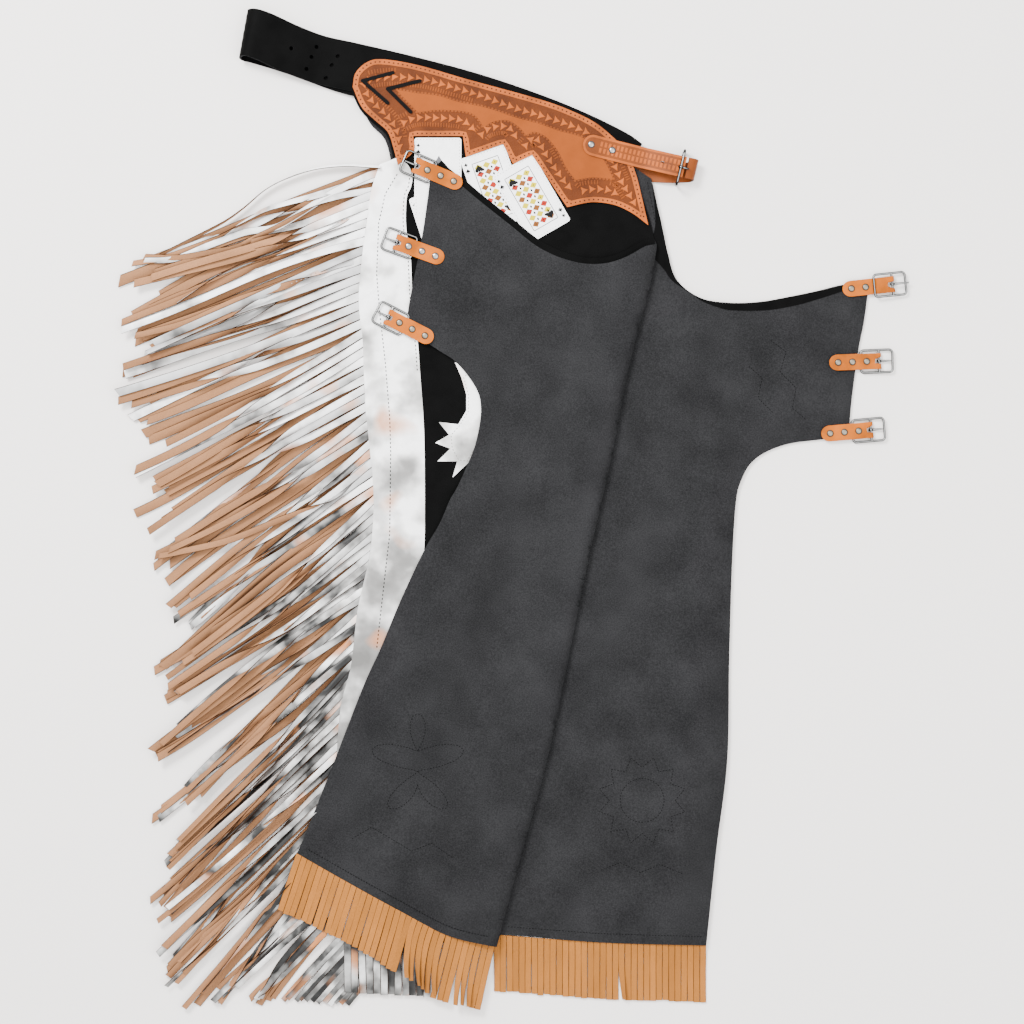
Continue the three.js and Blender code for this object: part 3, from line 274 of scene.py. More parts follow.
def node(tree, kind, inputs=None, stops=(), **settings):
    """Adds a node. An input takes a socket or a value, and stops fill a ramp with (place, colour) rows."""
    made = tree.nodes.new(kind)
    for name, value in settings.items():
        setattr(made, name, value)
    for target, value in (inputs or {}).items():
        if isinstance(value, bpy.types.NodeSocket):
            tree.links.new(value, made.inputs[target])
        else:
            made.inputs[target].default_value = value
    if stops:
        elements = made.color_ramp.elements
        while len(elements) < len(stops):
            elements.new(0.5)
        for element, (at, value) in zip(elements, stops):
            element.position = at
            element.color = value
    return made


def tint(value, factor):
    """A linear colour made darker or lighter."""
    return (*[min(1.0, c * factor) for c in tuple(value)[:3]], 1.0)


MATERIALS = {}


def new_material(name, roughness, metallic=0.0, gloss=0.5):
    """A material with its shader and the object coordinates in metres."""
    made = bpy.data.materials.new(name)
    made.use_nodes = True
    tree = made.node_tree
    tree.nodes.clear()
    shader = node(tree, "ShaderNodeBsdfPrincipled", {"Roughness": roughness, "Metallic": metallic})
    node(tree, "ShaderNodeOutputMaterial", {"Surface": shader.outputs[0]})
    if not metallic:
        shader.inputs["Specular IOR Level"].default_value = gloss
    MATERIALS[name] = made
    return tree, shader, node(tree, "ShaderNodeTexCoord").outputs["Object"]


def surface(tree, shader, tone, height, strength, depth_mm):
    """Joins a tone and a raised pattern to the shader."""
    relief = {"Height": height, "Strength": strength, "Distance": depth_mm * MM}
    tree.links.new(tone, shader.inputs["Base Color"])
    tree.links.new(node(tree, "ShaderNodeBump", relief).outputs[0], shader.inputs["Normal"])


def suede(name, base, nap_mm=1.6, contrast=1.0):
    """Split leather, flesh side out: napped and matte, clouded where the nap lies another way."""
    tree, shader, place = new_material(name, 0.95, gloss=0.03)
    brushed = {"Vector": place, "Scale": 1000 / 55, "Detail": 4.0}
    nap = {"Vector": place, "Scale": 1000 / nap_mm, "Detail": 2.0, "Roughness": 0.7}
    clouds = node(tree, "ShaderNodeTexNoise", brushed).outputs[0]
    fuzz = node(tree, "ShaderNodeTexNoise", nap).outputs[0]
    both = node(tree, "ShaderNodeMix", {0: 0.6, 6: clouds, 7: fuzz}, data_type="RGBA").outputs[2]
    darker, lighter = tint(base, 1 - 0.4 * contrast), tint(base, 1 + 0.5 * contrast)
    stops = [(0.36, darker), (0.5, tint(base, 1)), (0.66, lighter)]
    dye = node(tree, "ShaderNodeValToRGB", {0: both}, stops).outputs[0]
    # Each strip of a fringe has its own shade of the dye
    strand = node(tree, "ShaderNodeAttribute", attribute_name="strand").outputs["Fac"]
    spread = {0: strand, "From Max": 4.0, "To Min": 1.0, "To Max": 0.66}
    own = node(tree, "ShaderNodeMapRange", spread).outputs[0]
    dyed = {0: 1.0, 6: dye, 7: own}
    tone = node(tree, "ShaderNodeMix", dyed, data_type="RGBA", blend_type="MULTIPLY").outputs[2]
    surface(tree, shader, tone, fuzz, 0.7, 0.35)


def grain_leather(name, base, roughness, pebble_mm=1.3, depth_mm=0.25, gloss=0.1, mottle=1.0):
    """Full grain leather: fine pebbles from the hide's pores, with a low gloss from its finish."""
    tree, shader, place = new_material(name, roughness, gloss=gloss)
    pores = {"Vector": place, "Scale": 1000 / pebble_mm}
    pebbles = node(tree, "ShaderNodeTexVoronoi", pores).outputs[0]
    handled = {"Vector": place, "Scale": 1000 / 25, "Detail": 6.0}
    clouds = node(tree, "ShaderNodeTexNoise", handled).outputs[0]
    darker, lighter = tint(base, 1 - 0.28 * mottle), tint(base, 1 + 0.22 * mottle)
    stops = [(0.35, darker), (0.5, tint(base, 1)), (0.66, lighter)]
    dye = node(tree, "ShaderNodeValToRGB", {0: clouds}, stops).outputs[0]
    surface(tree, shader, dye, pebbles, 0.5, depth_mm)


# Painted reflections of the foil from its darkest to its shine: on the strips, and where it is sewn down
STRIP_PAINTED_REFLECTIONS = [
    (0.18, "#040404"), (0.29, "#2c2c2b"), (0.37, "#878684"), (0.45, "#cfcecc"), (0.54, "#f7f7f6"),
    (0.64, "#ffffff"), (0.8, "#b9b8b6"),
]
SEWN_PAINTED_REFLECTIONS = [
    (0.2, "#5f5e5c"), (0.33, "#7d7c7a"), (0.41, "#a3a2a0"), (0.49, "#cccbc9"), (0.57, "#f7f7f6"),
    (0.64, "#ffffff"), (0.8, "#d9d8d6"),
]


def foil_leather(name, tones):
    """Leather under silver foil: a bright skin with painted reflections in white and grey patches, painted
    darker towards the hem and different on each strand, with a few painted warm reflections."""
    tree, shader, place = new_material(name, 0.4, gloss=0.22)
    strand = node(tree, "ShaderNodeAttribute", attribute_name="strand").outputs["Vector"]
    shifted = node(tree, "ShaderNodeVectorMath", {0: place, 1: strand}, operation="ADD").outputs[0]
    reflection_noise = {"Vector": shifted, "Scale": 1000 / 50, "Detail": 3.5}
    patches = node(tree, "ShaderNodeTexNoise", reflection_noise).outputs[0]
    # Painted darker reflections lower down the legs
    height = node(tree, "ShaderNodeSeparateXYZ", {0: place}).outputs[1]
    down = {0: height, "From Min": -0.25, "From Max": 0.28, "To Min": -0.15, "To Max": 0.06}
    lower = node(tree, "ShaderNodeMapRange", down).outputs[0]
    both = node(tree, "ShaderNodeMath", {0: patches, 1: lower}, operation="ADD").outputs[0]
    stops = [(at, colour(tone)) for at, tone in tones]
    silver = node(tree, "ShaderNodeValToRGB", {0: both}, stops).outputs[0]
    # Each strand has its own painted reflection strength
    number = node(tree, "ShaderNodeSeparateXYZ", {0: strand}).outputs[0]
    spread = {0: number, "From Max": 4.0, "To Min": 0.95, "To Max": 0.38}
    own = node(tree, "ShaderNodeMapRange", spread).outputs[0]
    shaded = {0: 1.0, 6: silver, 7: own}
    skin = node(tree, "ShaderNodeMix", shaded, data_type="RGBA", blend_type="MULTIPLY").outputs[2]
    # A few painted warm reflections
    warm_reflection_noise = node(tree, "ShaderNodeTexNoise", {"Vector": shifted, "Scale": 1000 / 60, "Detail": 1.0}).outputs[0]
    few = {0: warm_reflection_noise, "From Min": 0.63, "From Max": 0.74, "To Max": 0.7}
    spots = node(tree, "ShaderNodeMapRange", few).outputs[0]
    warm = {0: spots, 6: skin, 7: colour("#c07a45")}
    tone = node(tree, "ShaderNodeMix", warm, data_type="RGBA").outputs[2]
    dents = node(tree, "ShaderNodeTexNoise", {"Vector": place, "Scale": 1000 / 9, "Detail": 4.0}).outputs[0]
    surface(tree, shader, tone, dents, 0.35, 0.5)


def plain(name, base, roughness, gloss=0.5, size_mm=3.0):
    """A finish with slight unevenness in tone and surface, as from wear and handling."""
    tree, shader, place = new_material(name, roughness, gloss=gloss)
    worn = {"Vector": place, "Scale": 1000 / (6 * size_mm), "Detail": 2.0}
    cloud = node(tree, "ShaderNodeTexNoise", worn).outputs[0]
    uneven = {0: cloud, 6: tint(colour(base), 0.8), 7: tint(colour(base), 1.08)}
    tone = node(tree, "ShaderNodeMix", uneven, data_type="RGBA").outputs[2]
    grit = {"Vector": place, "Scale": 1000 / size_mm, "Detail": 3.0}
    fine = node(tree, "ShaderNodeTexNoise", grit).outputs[0]
    surface(tree, shader, tone, fine, 0.5, 0.06)


def metal(name, base, roughness):
    """Plated metal: painted highlight on top, painted dark reflection down its sides, as its attribute says."""
    tree, shader, place = new_material(name, roughness, metallic=1.0)
    sides = node(tree, "ShaderNodeAttribute", attribute_name="tarnish").outputs["Fac"]
    # Painted highlight where the metal faces up, painted dark reflection down its steep sides
    stops = [(0.02, colour(base)), (0.1, tint(colour(base), 0.25)), (0.28, colour("#050505"))]
    tone = node(tree, "ShaderNodeValToRGB", {0: sides}, stops).outputs[0]
    scratched = {"Vector": place, "Scale": 1000 / 1.5, "Detail": 3.0}
    fine = node(tree, "ShaderNodeTexNoise", scratched).outputs[0]
    surface(tree, shader, tone, fine, 0.5, 0.06)


# Printing dyes on the cards
CARD_DYES = {"yellow": "#b8a800", "red": "#8f1f10", "black": "#050505", "brown": "#6e4018", "grey": "#5c5c5f"}


def make_materials():
    """Every finish that the pieces take."""
    colours = bpy.context.scene.chaps_colours
    russet = colours.russet
    # Dyed suede: dull and soft, with broad clouds and a fine nap
    suede("dark_suede_split", colours.suede)
    # Undyed suede: warm, with a nap too short to cloud much
    suede("tan_suede_split", colours.tan, nap_mm=1.2, contrast=0.4)
    # The side strips' tan is greyed by handling
    suede("handled_tan_suede_split", [0.8 * c + 0.2 * 0.24 for c in colours.tan], nap_mm=1.2, contrast=0.4)
    # The hides' outer face: black with a faint pebble
    grain_leather("black_grain_leather", colours.grain, 0.6, gloss=0.02)
    # Foil on cut strips has hard painted reflections of light and dark, and sewn down its painted reflections
    # are calmer
    foil_leather("silver_foil_leather", STRIP_PAINTED_REFLECTIONS)
    foil_leather("sewn_foil_leather", SEWN_PAINTED_REFLECTIONS)
    # Russet tooling leather: a light smooth rim, dark tooled bands, an even panel and a rough dark ground
    grain_leather("russet_rim_leather", tint(russet, 1.5), 0.5, 0.9, 0.12)
    grain_leather("russet_tooling_leather", tint(russet, 0.75), 0.45, 0.9, 0.12)
    grain_leather("russet_panel_leather", tint(russet, 1.05), 0.45, 0.8, 0.06, gloss=0.06, mottle=0.35)
    grain_leather("stamped_recess_leather", tint(russet, 0.42), 0.6, 2.2, 0.6)
    # Bridle leather of the tabs: oiled, even and slightly shiny
    grain_leather("tan_strap_leather", colours.strap, 0.5, 0.9, 0.1, gloss=0.03)
    # Cut edges: raw and grey on hides, burnished brown on straps and yokes, rough on strips and dark there as
    # painted slit shade
    plain("raw_hide_edge", "#222324", 0.9, gloss=0.05, size_mm=1.0)
    plain("burnished_edge", "#2a1206", 0.6, gloss=0.1)
    plain("dark_cut_edge_and_slit_shade", "#26160c", 0.9, gloss=0.05)
    plain("tan_cut_edge_and_slit_shade", "#5a3719", 0.9, gloss=0.05)
    # Nickel plated steel: a painted bright top with a painted dark reflection as outline, and duller where it
    # has worn
    metal("nickel_plate", "#8a8a89", 0.22)
    metal("worn_nickel", "#746d62", 0.4)
    # Coated white leather: clean, with a soft sheen
    plain("white_card_leather", "#ffffff", 0.45, size_mm=1.2)
    # Waxed lacing and threads: dull lines that stand out of the leather
    plain("black_lace", "#060606", 0.6, gloss=0.04, size_mm=1.0)
    plain("dark_thread", "#080808", 0.8, gloss=0.02)
    plain("grey_thread", "#6b6862", 0.7, gloss=0.2)
    for name, value in CARD_DYES.items():
        plain(f"{name}_dye", value, 0.5, gloss=0.1)
    # Matt paper under the pair: pale, without any pattern
    _, shader, _ = new_material("pale_floor", 0.9)
    shader.inputs["Base Color"].default_value = tint(colours.floor, 1)


# Pieces


def deselect():
    """Leaves nothing selected."""
    for item in bpy.context.view_layer.objects:
        item.select_set(False)


def pick(*pieces):
    """Selects these pieces alone, with the first one active."""
    deselect()
    for piece in pieces:
        piece.select_set(True)
    bpy.context.view_layer.objects.active = pieces[0]


def make_object(name, verts, faces, materials, indices=None):
    """An object from places and faces, with a material for each face where indices say which."""
    mesh = bpy.data.meshes.new(name)
    mesh.from_pydata([tuple(v) for v in verts], [], [tuple(int(i) for i in f) for f in faces])
    piece = bpy.data.objects.new(name, mesh)
    bpy.context.collection.objects.link(piece)
    for material in materials:
        mesh.materials.append(MATERIALS[material])
    if indices is not None:
        mesh.polygons.foreach_set("material_index", indices)
    mesh.update()
    return piece


def apply_modifiers(piece):
    """Makes a piece's modifiers part of its mesh."""
    pick(piece)
    for modifier in list(piece.modifiers):
        bpy.ops.object.modifier_apply(modifier=modifier.name)


def shade(piece, angle=40):
    """Smooth shading over all edges but the sharp ones."""
    pick(piece)
    bpy.ops.object.shade_smooth_by_angle(angle=math.radians(angle))
    return piece


def outward(piece):
    """Turns the faces of a closed mesh outwards."""
    work = bmesh.new()
    work.from_mesh(piece.data)
    bmesh.ops.recalc_face_normals(work, faces=work.faces)
    work.to_mesh(piece.data)
    work.free()


def join(name, parts):
    """One object made of several."""
    pick(*parts)
    if len(parts) > 1:
        bpy.ops.object.join()
    parts[0].name = name
    parts[0].data.name = name
    return parts[0]


def settle(piece, slot, *stands_for, body="chaps"):
    """Puts a finished piece on its body and hides the nodes that it stands for. The slot is not used."""
    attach(piece, body)
    if stands_for:
        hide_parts(*stands_for)
    return piece


def thicken(piece, thickness_mm, even=True):
    """Gives a sheet its thickness behind its face. The back takes the second material, the rim the third."""
    wall = piece.modifiers.new("Leather", "SOLIDIFY")
    wall.thickness = thickness_mm * MM
    wall.offset = -1
    wall.use_even_offset = even
    wall.material_offset = 1
    wall.material_offset_rim = 2
    apply_modifiers(piece)


def thicken_bent(piece, thickness_mm):
    """Gives a bent strap its thickness on both sides of its middle. The rim takes the third material."""
    wall = piece.modifiers.new("Leather", "SOLIDIFY")
    wall.thickness = thickness_mm * MM
    wall.offset = 0
    wall.material_offset_rim = 2
    apply_modifiers(piece)
    outward(piece)
    return shade(piece, 50)


def leather(name, outline, place, thickness_mm, materials, holes=(), pitch=6.0, extra=()):
    """A piece cut from leather by an outline and laid by a function of its flat places."""
    verts, faces = tile(outline, holes, pitch, extra)
    piece = make_object(name, [place(x, y) for x, y in verts], turned(verts, faces), materials)
    thicken(piece, thickness_mm)
    return shade(piece)


def flat_at(level):
    """A function that lays flat places at one height in mm."""
    return lambda x, y: lay(x, y, level)


# Face, back and cut edge of each kind of leather
SUEDE_OVER_GRAIN = ["black_grain_leather", "dark_suede_split", "raw_hide_edge"]
SUEDE_UP = ["dark_suede_split", "black_grain_leather", "raw_hide_edge"]
BLACK = ["black_grain_leather"] * 3
BELT = ["black_grain_leather", "black_grain_leather", "raw_hide_edge"]
RIM = ["russet_rim_leather", "russet_rim_leather", "burnished_edge"]
RUSSET = ["russet_tooling_leather", "russet_tooling_leather", "burnished_edge"]
RECESS = ["stamped_recess_leather", "stamped_recess_leather", "burnished_edge"]
PANEL = ["russet_panel_leather", "russet_panel_leather", "burnished_edge"]
STRAP = ["tan_strap_leather", "tan_strap_leather", "burnished_edge"]
FOIL = ["sewn_foil_leather", "tan_suede_split", "tan_suede_split"]
SILVER_STRIP = ["silver_foil_leather", "tan_suede_split", "dark_cut_edge_and_slit_shade"]
SIDE_STRIP = ["silver_foil_leather", "handled_tan_suede_split", "dark_cut_edge_and_slit_shade"]
TAN_STRIP = ["tan_suede_split", "tan_suede_split", "tan_cut_edge_and_slit_shade"]
CARD = ["white_card_leather"] * 3
LACE = ["black_lace"] * 3

# Stitches

# A stitch seen from above, as shares of its length and width
STITCH = [(-0.5, 0), (-0.3, 0.5), (0.3, 0.5), (0.5, 0), (0.3, -0.5), (-0.3, -0.5)]


def stitches(name, lines, level, spacing, length, width, material, height_mm=0.5):
    """Short raised stitches along lines, all in one mesh. level is a height in mm or a function of a place."""
    verts, faces = [], []
    for line in lines:
        for at, run in along(line, spacing):
            side = np.array([-run[1], run[0]])
            z = level(at[0], at[1]) if callable(level) else level
            first = len(verts)
            for share, rise in ((1.0, -0.2), (1.0, 0.5 * height_mm), (0.55, height_mm)):
                for u, v in STITCH:
                    spot = at + run * (u * length * share) + side * (v * width * share)
                    verts.append(lay(spot[0], spot[1], z + rise))
            for base in (first, first + 6):
                for k in range(6):
                    n = (k + 1) % 6
                    faces.append((base + k, base + 6 + k, base + 6 + n, base + n))
            faces.append(tuple(first + 12 + k for k in range(5, -1, -1)))
            faces.append(tuple(first + k for k in range(6)))
    return make_object(name, verts, faces, [material])


# Legs, drawn on the sheet

CREASE = [
    (655, 245), (648, 285), (636, 330), (624, 380), (610, 454), (597, 512), (585, 566), (566, 660), (545, 760),
    (519, 855), (495, 945),
]
FLAP_TOP_EDGE = [
    (655, 245), (644, 248), (628, 257), (612, 263), (597, 265), (581, 264), (565, 260), (550, 254), (534, 245),
    (509, 225), (490, 210), (475, 198), (462, 187), (446, 175), (437, 166),
]
FLAP_BACK_EDGE = [
    (437, 166), (431, 180), (428, 200), (424, 228), (419, 256), (413, 286), (408, 316), (410, 332),
]
FLAP_WING_EDGE = [
    (410, 332), (427, 343), (441, 352), (456, 362), (471, 380), (479, 395), (481, 409), (480, 423), (475, 446),
    (467, 466), (457, 488), (450, 500), (440, 523), (424, 551), (401, 600), (381, 648), (363, 688), (332, 768),
    (302, 843), (297, 852),
]
FLAP_HEM = [(297, 852), (346, 880), (397, 908), (448, 934), (495, 945)]
RIGHT_BACK = [
    (655, 245), (650, 222), (642, 198), (631, 172), (606, 142), (560, 117), (500, 97), (440, 85), (380, 78),
    (351, 90),
]
RIGHT_BACK_EDGE = [
    (351, 90), (360, 110), (373, 123.5), (386, 135), (392, 152), (394, 176), (386, 207), (380, 240), (377, 300),
    (380, 335), (386, 388), (391, 450), (391, 490), (387, 545), (380, 600), (368, 680), (354, 770), (345, 850),
    (344, 935),
]
RIGHT_UNDER_HEM = [(344, 935), (495, 945)]
# How the hide rounds its fold, in mm: how far in it is bent, how high it stands, and how far that dies away
FOLD_REACH = 8.0
FOLD_RISE = 7.0
FOLD_RUN = 55.0
FOLD_STEPS = (0.25, 0.8, 1.7, 3.0, 4.8, 7.0)  # lines of points beside the crease, on the sheet


def waves(x, y):
    """Soft folds of the hide, in mm: long ones down the leg and a few pulls towards the crease."""
    lean = (x - 512) + 0.32 * (y - 512)
    long = 0.9 * math.sin(lean / 27 + 0.7) + 0.6 * math.sin(lean / 15 + y / 210)
    return long + 0.5 * math.sin(y / 46 + x / 90) + 1.6


def spaced(line):
    """A closed line with no two points on one spot."""
    return [p for k, p in enumerate(line) if np.linalg.norm(p - line[k - 1]) > 0.05]


def fold_height(layer, x, y, from_crease, from_edge):
    """Height in mm of the folded hide's face, on its back layer or on the flap that lies over it."""
    low, middle = RIGHT_LEVEL + HIDE, RIGHT_LEVEL + 6.8
    share = 1 - min(from_crease / FOLD_REACH, 1)
    turn = math.sqrt(max(0.0, 1 - share * share))
    if layer == "back":
        return middle - (middle - low) * turn
    lift = FOLD_RISE * math.exp(-((from_crease / FOLD_RUN) ** 2))
    calm = min(1, from_edge / 25) if from_crease > FOLD_REACH else 0.3
    return middle + (FLAP_LEVEL + lift + calm * waves(x, y) - middle) * turn


def right_leg():
    """The folded hide: back layer and flap in one sheet that rounds the crease."""
    crease = smooth_run(CREASE, 4)
    flap = border(FLAP_TOP_EDGE, FLAP_BACK_EDGE, FLAP_WING_EDGE, FLAP_HEM, step=3)
    back = border(RIGHT_BACK, RIGHT_BACK_EDGE, RIGHT_UNDER_HEM, step=6)
    near = [p for d in FOLD_STEPS for p in offset_line(crease, d)]
    verts, faces = [], []
    for layer, edges, pitch in (("back", back, 9.0), ("flap", flap, 5.0)):
        outline = spaced([*edges[:-1], *crease[::-1]])
        points, tris = tile(outline, pitch=pitch, extra=near)
        from_crease = distance_to(np.array(crease), points) * UNIT / MM
        from_edge = distance_to(outline, points, closed=True) * UNIT / MM
        first = len(verts)
        for (x, y), inward, rim in zip(points, from_crease, from_edge):
            verts.append(lay(x, y, fold_height(layer, x, y, inward, rim)))
        faces.extend((turned(points, tris, up=layer == "back") + first).tolist())
    piece = make_object("leg_right_leather", verts, faces, SUEDE_OVER_GRAIN)
    work = bmesh.new()
    work.from_mesh(piece.data)
    bmesh.ops.remove_doubles(work, verts=work.verts, dist=0.00005)
    work.to_mesh(piece.data)
    work.free()
    # An even wall would spike in the tight fold
    thicken(piece, HIDE, even=False)
    return shade(piece, 60)


def flap_top(x, y):
    """Height in mm of the flap's upper face."""
    d = distance_to(smooth_run(CREASE, 12), np.array([[x, y]]))[0] * UNIT / MM
    return FLAP_LEVEL + HIDE + FOLD_RISE * math.exp(-((d / FOLD_RUN) ** 2)) + waves(x, y)


LEFT_TOP = [(362, 108), (440, 92), (520, 110), (590, 140), (651, 179)]
LEFT_FRONT = [
    (651, 179), (656, 205), (661, 227), (667, 255), (676, 280), (700, 298), (729, 303), (759, 302), (788, 297),
    (817, 291), (842, 285), (869, 282),
]
LEFT_WING = [(869, 282), (864, 320), (858, 351), (852, 395), (848, 437)]
LEFT_LOWER = [
    (848, 437), (817, 440), (788, 444), (766, 452), (751, 463), (742, 478), (736, 500), (732, 560), (729, 660),
    (727, 760), (716, 850), (706, 945),
]
LEFT_HEM = [(706, 945), (600, 942), (494, 934), (344, 934)]
LEFT_BACK = [
    (344, 934), (354, 850), (366, 750), (377, 655), (385, 580), (391, 510), (391, 448), (384, 365), (377, 300),
    (380, 240), (385, 200), (391, 172), (389, 152), (383, 137), (371, 125), (362, 108),
]


def left_leg_top(x, y):
    """Height in mm of the left leg's upper face: it comes down to the floor under its wing."""
    share = min(max((x - 712) / 60, 0), 1)
    fall = share * share * (3 - 2 * share)
    wave = 0.5 * waves(x + 40, y) if x > 560 else 0.4
    return LEFT_LEVEL * (1 - fall) + HIDE + max(0.0, wave * 0.8)


def on_left_leg(lift):
    """A function that lays flat places on the left leg."""
    return lambda x, y: lay(x, y, left_leg_top(x, y) + lift)


def left_leg():
    """The flat hide underneath, flesh side up."""
    outline = border(LEFT_TOP, LEFT_FRONT, LEFT_WING, LEFT_LOWER, LEFT_HEM, LEFT_BACK, step=4)
    return leather("leg_left_leather", outline, on_left_leg(0), HIDE, SUEDE_UP)


# The black edging along the left leg's front and the top of its wing: upper edge, end, lower edge, end
FRONT_EDGING = [
    [
        (652, 182), (657, 205), (662, 227), (668, 255), (676.5, 280), (700, 298.4), (729, 303.5), (759, 302.5),
        (788, 297.5), (817, 291.5), (843, 285.5),
    ],
    [(843, 285.5), (842, 291.5)],
    [
        (842, 291.5), (822, 298), (796, 305.4), (766, 310.4), (733, 310.6), (719, 308), (703, 302), (688, 292),
        (672, 281), (664, 270), (655, 260), (646, 250),
    ],
    [(646, 250), (655, 226), (652, 182)],
]


def edging():
    """The black edging of the flap's scooped top and of the left leg's front."""
    line = offset_line(smooth_run(FLAP_TOP_EDGE, 3), 0.3)
    outer = offset_line(smooth_run(FLAP_TOP_EDGE, 6), -6.5)
    band = leather("flap_edging_band", [*line, *outer[::-1]], flat_at(FLAP_LEVEL + 1.5), 1.3, BLACK)
    outline = border(*FRONT_EDGING, step=3)
    front = leather("front_edging_band", outline, on_left_leg(0.5), 0.9, BLACK, pitch=5)
    return join("black_edging", [band, front])


def flower(x, y, across, down, petals=5):
    """The outline of a flower round a place."""
    line = []
    for turn in np.linspace(0, 2 * math.pi, 61):
        open_share = math.cos(petals * turn / 2) ** 2
        u = across * math.sin(turn) * open_share
        v = down * math.cos(turn) * (0.35 + 0.65 * open_share)
        line.append((x + u, y - v))
    return line


def sun(x, y, tip, notch, rays=12):
    """The outline of a sun round a place, from a tip to a tip."""
    line = []
    for k in range(2 * rays + 1):
        radius = tip if k % 2 else notch
        turn = math.pi * k / rays
        line.append((x + radius * math.cos(turn), y + radius * math.sin(turn)))
    return line


# Stitched lines that show through the suede: a flower and a sun with waves, none of them filled
FLAP_MOTIFS = [
    flower(418, 765, 48, 52),
    [(352, 838), (372, 826), (392, 838), (412, 850), (432, 842), (452, 856)],
]
LEG_MOTIFS = [
    sun(642, 800, 44, 33),
    closed(disc(642, 800, 22, 24)),
    [(600, 870), (620, 862), (640, 872), (660, 864), (684, 874)],
    [(770, 340), (786, 352), (780, 372), (796, 388), (792, 408), (806, 420)],
    [(748, 366), (762, 378), (758, 398), (772, 412)],
]
LEG_SEAMS = [[(702, 936), (600, 933), (506, 926)], [(647, 182), (652, 205), (656, 228)]]


def leg_stitches():
    """The hems' seams, and the seams of the other face's trim, whose thread shows on the suede."""
    hem = offset_line(smooth_run(FLAP_HEM, 4), 9)[2:-2]
    flap = stitches("flap_thread", [hem, *FLAP_MOTIFS], flap_top, 3.0, 2.0, 0.55, "dark_thread", 0.25)
    lines = [*LEG_SEAMS, *LEG_MOTIFS]
    leg = stitches("leg_thread", lines, left_leg_top, 3.0, 2.0, 0.55, "dark_thread", 0.25)
    return join("leg_threads", [flap, leg])


# Fringe

SLITS = [
    (380, 165), (372, 190), (367, 222), (362, 262), (359, 303), (363, 340), (364, 370), (366, 410), (370, 448),
    (374, 500), (370, 554), (358, 610), (351, 667), (341, 707), (336, 770), (332, 840), (330, 890), (327, 935),
]
SEWN_EDGE = [
    (399, 158), (409, 167), (412.5, 178), (411, 188), (407, 198), (406, 222), (408, 240), (411, 261),
    (413, 300), (418, 343), (420, 370), (424, 427), (425, 500), (424, 554), (417, 620), (405, 707), (394, 790),
    (384, 880), (379, 935),
]
# Down the side fringe, by y on the sheet: degrees that the strips dip below level, and their length
DIPS = [(165, 20), (303, 23), (370, 30), (448, 35), (554, 38), (650, 40), (750, 42), (850, 45), (935, 48)]
REACHES = [
    (165, 255), (303, 245), (370, 250), (500, 248), (700, 240), (830, 232), (880, 170), (912, 110), (935, 84),
]


def read(table, y):
    """Reads a table of (y, value) rows."""
    return float(np.interp(y, [row[0] for row in table], [row[1] for row in table]))


def eased(share, table):
    """Reads a table of (share, value) rows that eases from one row to the next."""
    for (a, first), (b, last) in zip(table, table[1:]):
        if share <= b:
            t = max(0.0, (share - a) / (b - a))
            return first + (last - first) * t * t * (3 - 2 * t)
    return table[-1][1]


def strip_rows(path, start_width, end_width, level, rest, rolls, fall=6.0, slant=0.0):
    """Cross lines of a strip along a plan path: place, side, half width, roll and height."""
    pts = np.array(path, float)
    runs = np.gradient(pts, axis=0)
    runs /= np.linalg.norm(runs, axis=1)[:, None]
    rows = []
    for k, (at, run) in enumerate(zip(pts, runs)):
        share = k / (len(pts) - 1)
        roll = math.radians(eased(share, rolls))
        half = 0.5 * (start_width + (end_width - start_width) * share)
        z = level + (rest - level) * (1 - math.exp(-fall * share))
        stand = abs(math.sin(roll)) * half * UNIT / MM
        rows.append((at, np.array([run[1], -run[0]]), half, roll, z + stand))
    # The end is cut on a slant
    at, side, half, roll, z = rows[-1]
    rows[-1] = (at, side + slant * runs[-1], half, roll, z)
    return rows


def strip_path(root, dip, length, bend, wave, phase, segments=42):
    """A plan path that starts at the root, dips below level and bends by small angles."""
    at = np.array(root, float)
    path = [at.copy()]
    for k in range(1, segments + 1):
        share = k / segments
        heading = math.radians(dip + bend * (share - 0.3) + wave * math.sin(share * 7 + phase))
        at = at + np.array([-math.cos(heading), math.sin(heading)]) * length / segments
        path.append(at.copy())
    return path


# A strip's section: places across it and through it as shares, and the material that runs on from each one
# The rounded edges take the dark edge material, which reaches onto the face as a thin band of painted shade
# between the strips
STRIP_SECTION = [
    (1, 0.2, 2), (0.9, 1, 0), (-0.9, 1, 2), (-1, 0.2, 2), (-1, -0.2, 2), (-0.9, -1, 1), (0.9, -1, 2),
    (1, -0.2, 2),
]


def add_strip(verts, faces, indices, rows, thickness, root_pair=None):
    """Adds one closed strip: face, back and rounded cut edges take the first, second and third material."""
    first, size = len(verts), len(STRIP_SECTION)
    for k, (at, side, half, roll, z) in enumerate(rows):
        wide = side * math.cos(roll) * half
        out = -side * math.sin(roll) * thickness / 2 * MM / UNIT
        rise, deep = math.sin(roll) * half * UNIT / MM, math.cos(roll) * thickness / 2
        if k == 0 and root_pair:
            # The root fills its place between the slits
            ends = sorted(root_pair, key=lambda p: float(np.dot(np.array(p) - at, wide)))
            at, wide = (ends[0] + ends[1]) / 2, (ends[1] - ends[0]) / 2
        for a, n, _ in STRIP_SECTION:
            spot = at + a * wide + n * out
            verts.append(lay(spot[0], spot[1], max(0.05, z + a * rise + n * deep)))
    for k in range(len(rows) - 1):
        a, b = first + size * k, first + size * (k + 1)
        for n, (_, _, material) in enumerate(STRIP_SECTION):
            m = (n + 1) % size
            faces.append((a + n, a + m, b + m, b + n))
            indices.append(material)
    last = first + size * (len(rows) - 1)
    faces.extend([tuple(range(first + size - 1, first - 1, -1)), tuple(range(last, last + size))])
    indices.extend([2, 2])


